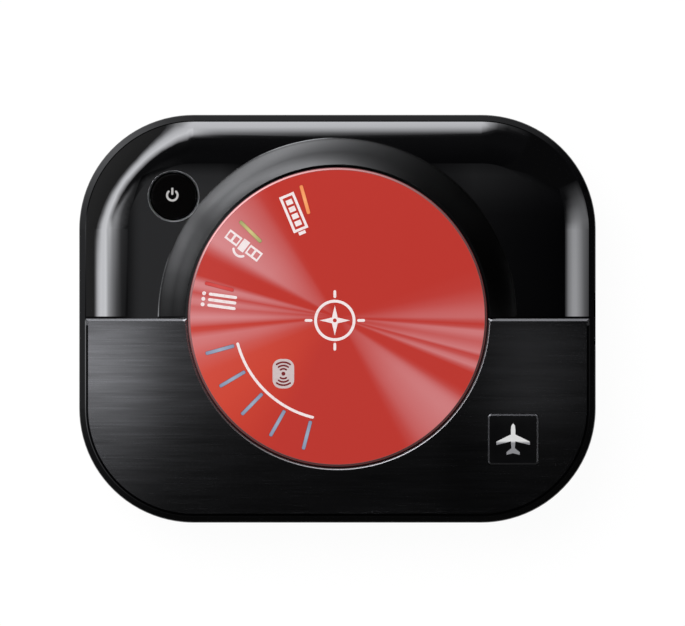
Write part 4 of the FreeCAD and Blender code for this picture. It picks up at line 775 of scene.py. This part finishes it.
# %% Link marks and compass
printed("mark_link_arc", on_dial([band(arc(0, 0, 15.75, 195, 256, 60), 0.42)], 0, 0), DIAL_TOP, "case",
        white_ink)
TABLET = (-8.25, -8.63 + DIAL_Y / MM)
tablet = []
for corner, (x, y) in enumerate(((0.35, 0.95), (-0.35, 0.95), (-0.35, -0.95), (0.35, -0.95))):
    tablet += arc(x, y, 1.3, 90 * corner, 90 * corner + 90, 10)
printed("mark_link_tablet", placed([tablet], *TABLET), DIAL_TOP, "case",
        pale_ink, thick=0.8 * INK)
waves = [circle(0, 0, 0.3, 24)]
for side in (90, 270):
    waves += [band(arc(0, 0, r, side - 36, side + 36, 14), 0.26) for r in (0.75, 1.25, 1.75)]
printed("mark_link_waves", placed(waves, *TABLET), DIAL_TOP + 0.6 * INK, "case",
        dark_ink, thick=0.8 * INK)

rose = [circle(0, 0, 3.15, 72), circle(0, 0, 2.72, 72)]
points = []
for k in range(8):
    a = math.radians(90 + 45 * k)
    reach = 2.3 if k % 2 == 0 else 0.62
    points.append((reach * math.cos(a), reach * math.sin(a)))
rose += [points, circle(0, 0, 0.3, 20)]
for k in range(4):
    a = math.radians(90 * k)
    rose.append(band([(r * math.cos(a), r * math.sin(a)) for r in (3.62, 4.0, 4.4)], 0.42))
printed("mark_compass_rose", placed(rose, -0.4, DIAL_Y / MM - 0.5), DIAL_TOP, "case", white_ink)

# %% [markdown]
# The button has the standard sign for power: a broken ring with a stroke in its gap.

# %% Power sign
power = [band(arc(0, 0, 0.8, 135, 405, 40), 0.32), band([(0, 0.2), (0, 0.6), (0, 1.0)], 0.32)]
printed("mark_power", placed(power, BUTTON_X / MM - 0.2, BUTTON_Y / MM + 0.15), BUTTON_TOP, "button",
        grey_ink)

# %% [markdown]
# The plaque's picture is an aeroplane from above, hot-stamped in bright foil. The outline is drawn for the
# right half only and mirrored. The foil is bright at the nose and duller towards the tail.

# %% Plaque picture
DULL_BELOW, BRIGHT_ABOVE = 0.55 * MM, 0.25 * MM
made, tree = new_material("foil_silver_hot_stamped")
where = add(tree, "TexCoord", out="Object")
across = add(tree, "SeparateXYZ", [where], out="Y")
step_down = add(tree, "MapRange", [across, BADGE_Y - DULL_BELOW, BADGE_Y - BRIGHT_ABOVE, 0, 1])
worn = noise(tree, 0.5, 3)
shade = blend(tree, step_down, linear("#9C9CA0"), linear("#F6F6F6"))
rough = add(tree, "MapRange", [worn, 0.3, 0.7, 0.45, 0.6])
surface = add(tree, "BsdfPrincipled", {"Base Color": shade, "Metallic": 0.2, "Roughness": rough})
add(tree, "OutputMaterial", [surface])

half_plane = [(0, 2.45), (.26, 2.1), (.34, 1.5), (.34, .75), (2.55, -.35), (2.55, -.85), (.34, -.3),
              (.26, -1.35), (1.0, -1.95), (1.0, -2.35), (0, -2.1)]
plane = half_plane + [(-x, y) for x, y in half_plane[-2:0:-1]]
printed("nameplate_aeroplane", placed([plane], BADGE_X / MM, BADGE_Y / MM), BADGE_TOP - INK, "case",
        made, thick=0.9 * INK)

# %% [markdown]
# ## Light pipes and lamps
# Each status light is a bar of tinted polycarbonate that carries the light of a small diode up to the dial.
# The light spreads out from the middle of the bar, so the bar is brightest there and deeper in colour
# at its ends. The distance from the dial's axis tells how far along the bar a point is.

# %% Light pipes
PIPE_MIDDLE, PIPE_HALF = 18.6 * MM, 2.25 * MM


def light_pipe(name, middle, ends, *nodes):
    """Tinted polycarbonate, lit from below."""
    made, tree = new_material("polycarbonate_tinted_" + name)
    radius = distance_from(tree, DIAL_X, DIAL_Y)[0]
    off = add(tree, "Math", [radius, PIPE_MIDDLE], operation="SUBTRACT")
    off = add(tree, "Math", [off], operation="ABSOLUTE")
    fade = add(tree, "MapRange", [off, 0, PIPE_HALF, 0, 1])
    shade = blend(tree, fade, linear(middle), linear(ends))
    milky = noise(tree, 0.4, 2)
    rough = add(tree, "MapRange", [milky, 0.3, 0.7, 0.3, 0.4])
    surface = add(tree, "BsdfPrincipled", {
        "Base Color": shade, "Roughness": rough, "IOR": 1.58,
        "Emission Color": shade, "Emission Strength": 0.15})
    add(tree, "OutputMaterial", [surface])
    paint(made, *nodes)


light_pipe("amber", "#F8A66C", "#F08E54", "light_pipe_battery")
light_pipe("green", "#CEC080", "#A0A468", "light_pipe_fix")
light_pipe("red", "#CE4A46", "#CC3E3C", "light_pipe_log")
light_pipe("blue", "#98A6BA", "#828CA6", *[f"light_pipe_link_{i}" for i in range(1, 6)])

# %% [markdown]
# ## Inside
# Most of what lies inside shows only when the battery door slides off or the case is opened, but each part
# still has its own finish. They differ in a few things: two tones, the size of their grain, how polished
# they are, and whether they are metal. One function takes those, and each call says what the part is.

# %% Finishes inside
def finish(name, low, high, grain_mm, rough, nodes, relief_mm=0.002, **surface):
    """A finish that varies between two tones with a grain of a real size."""
    made, tree = new_material(name)
    grain = noise(tree, grain_mm, 3)
    shade = add(tree, "ValToRGB", [grain], stops=[(0.3, linear(low)), (0.7, linear(high))])
    polish = add(tree, "MapRange", [grain, 0.3, 0.7, rough, rough + 0.1])
    bump = add(tree, "Bump", {"Height": grain, "Distance": relief_mm * MM, "Strength": 0.4})
    inputs = {"Base Color": shade, "Roughness": polish, "Normal": bump}
    inputs.update({words.replace("_", " "): value for words, value in surface.items()})
    add(tree, "OutputMaterial", [add(tree, "BsdfPrincipled", inputs)])
    paint(made, *nodes)


LIGHTS = ["battery", "fix", "log"] + [f"link_{i}" for i in range(1, 6)]
# Diodes: white moulded housings with a fine matt grain.
finish("polyphthalamide_white_moulded", "#E2DFD4", "#F0EEE6", 0.3, 0.5, ["led_" + light for light in LIGHTS])
# Tapes: black acrylic foam, soft and open-pored.
finish("acrylic_foam_tape_black", "#101010", "#1A1A1A", 0.15, 0.8, ["dial_tape", "plate_tape"], 0.02)
# Boards: glass cloth under green solder mask, whose weave prints through about 0.5 mm apart.
finish("glass_epoxy_green_solder_mask", "#0B4A24", "#12602F", 0.5, 0.3, ["main_board", "radio_board"],
       IOR=1.5)
# Satellite aerial: fired ceramic, dry and slightly porous, with a screen-printed silver face.
finish("ceramic_beige_fired", "#BDAF93", "#D0C4AA", 0.4, 0.6, ["antenna_ceramic"], 0.01, IOR=1.7)
finish("silver_screen_fired", "#C4C2BC", "#D8D6D0", 0.25, 0.35, ["antenna_electrode"], Metallic=1.0)
# Screening cans: cold-rolled tinplate, bright with a faint cloud.
finish("steel_tinned_rolled", "#A9A9A5", "#BEBEBA", 1.5, 0.25, ["receiver_shield", "radio_shield"],
       Metallic=1.0)
# Socket shell and switch dome: nickel plate, slightly warm and bright.
finish("steel_nickel_plated", "#A8A296", "#BAB4A8", 0.6, 0.22, ["usb_shell", "switch_dome"], Metallic=1.0)
# Screws: zinc plate, blue-white and a little dull.
finish("steel_zinc_plated", "#9A9DA0", "#B0B3B6", 0.3, 0.32, ["case_screws", "board_screws"], 0.004,
       Metallic=1.0)
# Contacts: gold flash over nickel.
finish("gold_plated_contact", "#D8A850", "#E6BC68", 0.4, 0.2, ["battery_terminals", "contact_leaves"],
       Metallic=1.0)
# Chips, coil, switch body, socket tongue and contact block: black moulding compound with a blasted face.
finish("epoxy_black_moulded", "#121213", "#1C1C1D", 0.12, 0.5,
       ["processor_chip", "memory_chip", "charger_chip", "receiver_chip", "power_coil", "switch_housing",
        "usb_tongue", "contact_block", "battery_end_cap"], 0.006, IOR=1.55)
# Ceramic chip parts: pale glazed bodies.
finish("ceramic_pale_glazed", "#B4B2AC", "#C8C6C0", 0.3, 0.35, ["radio_antenna", "clock_crystal"], IOR=1.6)
# Plunger: natural nylon, slightly waxy.
finish("nylon_grey_moulded", "#8E8D89", "#9C9B97", 0.5, 0.4, ["switch_plunger"], IOR=1.53)
# Cell: dark blue shrink film, glossy with a slow waviness.
finish("polyvinyl_blue_shrink_film", "#1E2C42", "#27374F", 6, 0.18, ["battery_cell"], 0.03, IOR=1.53)
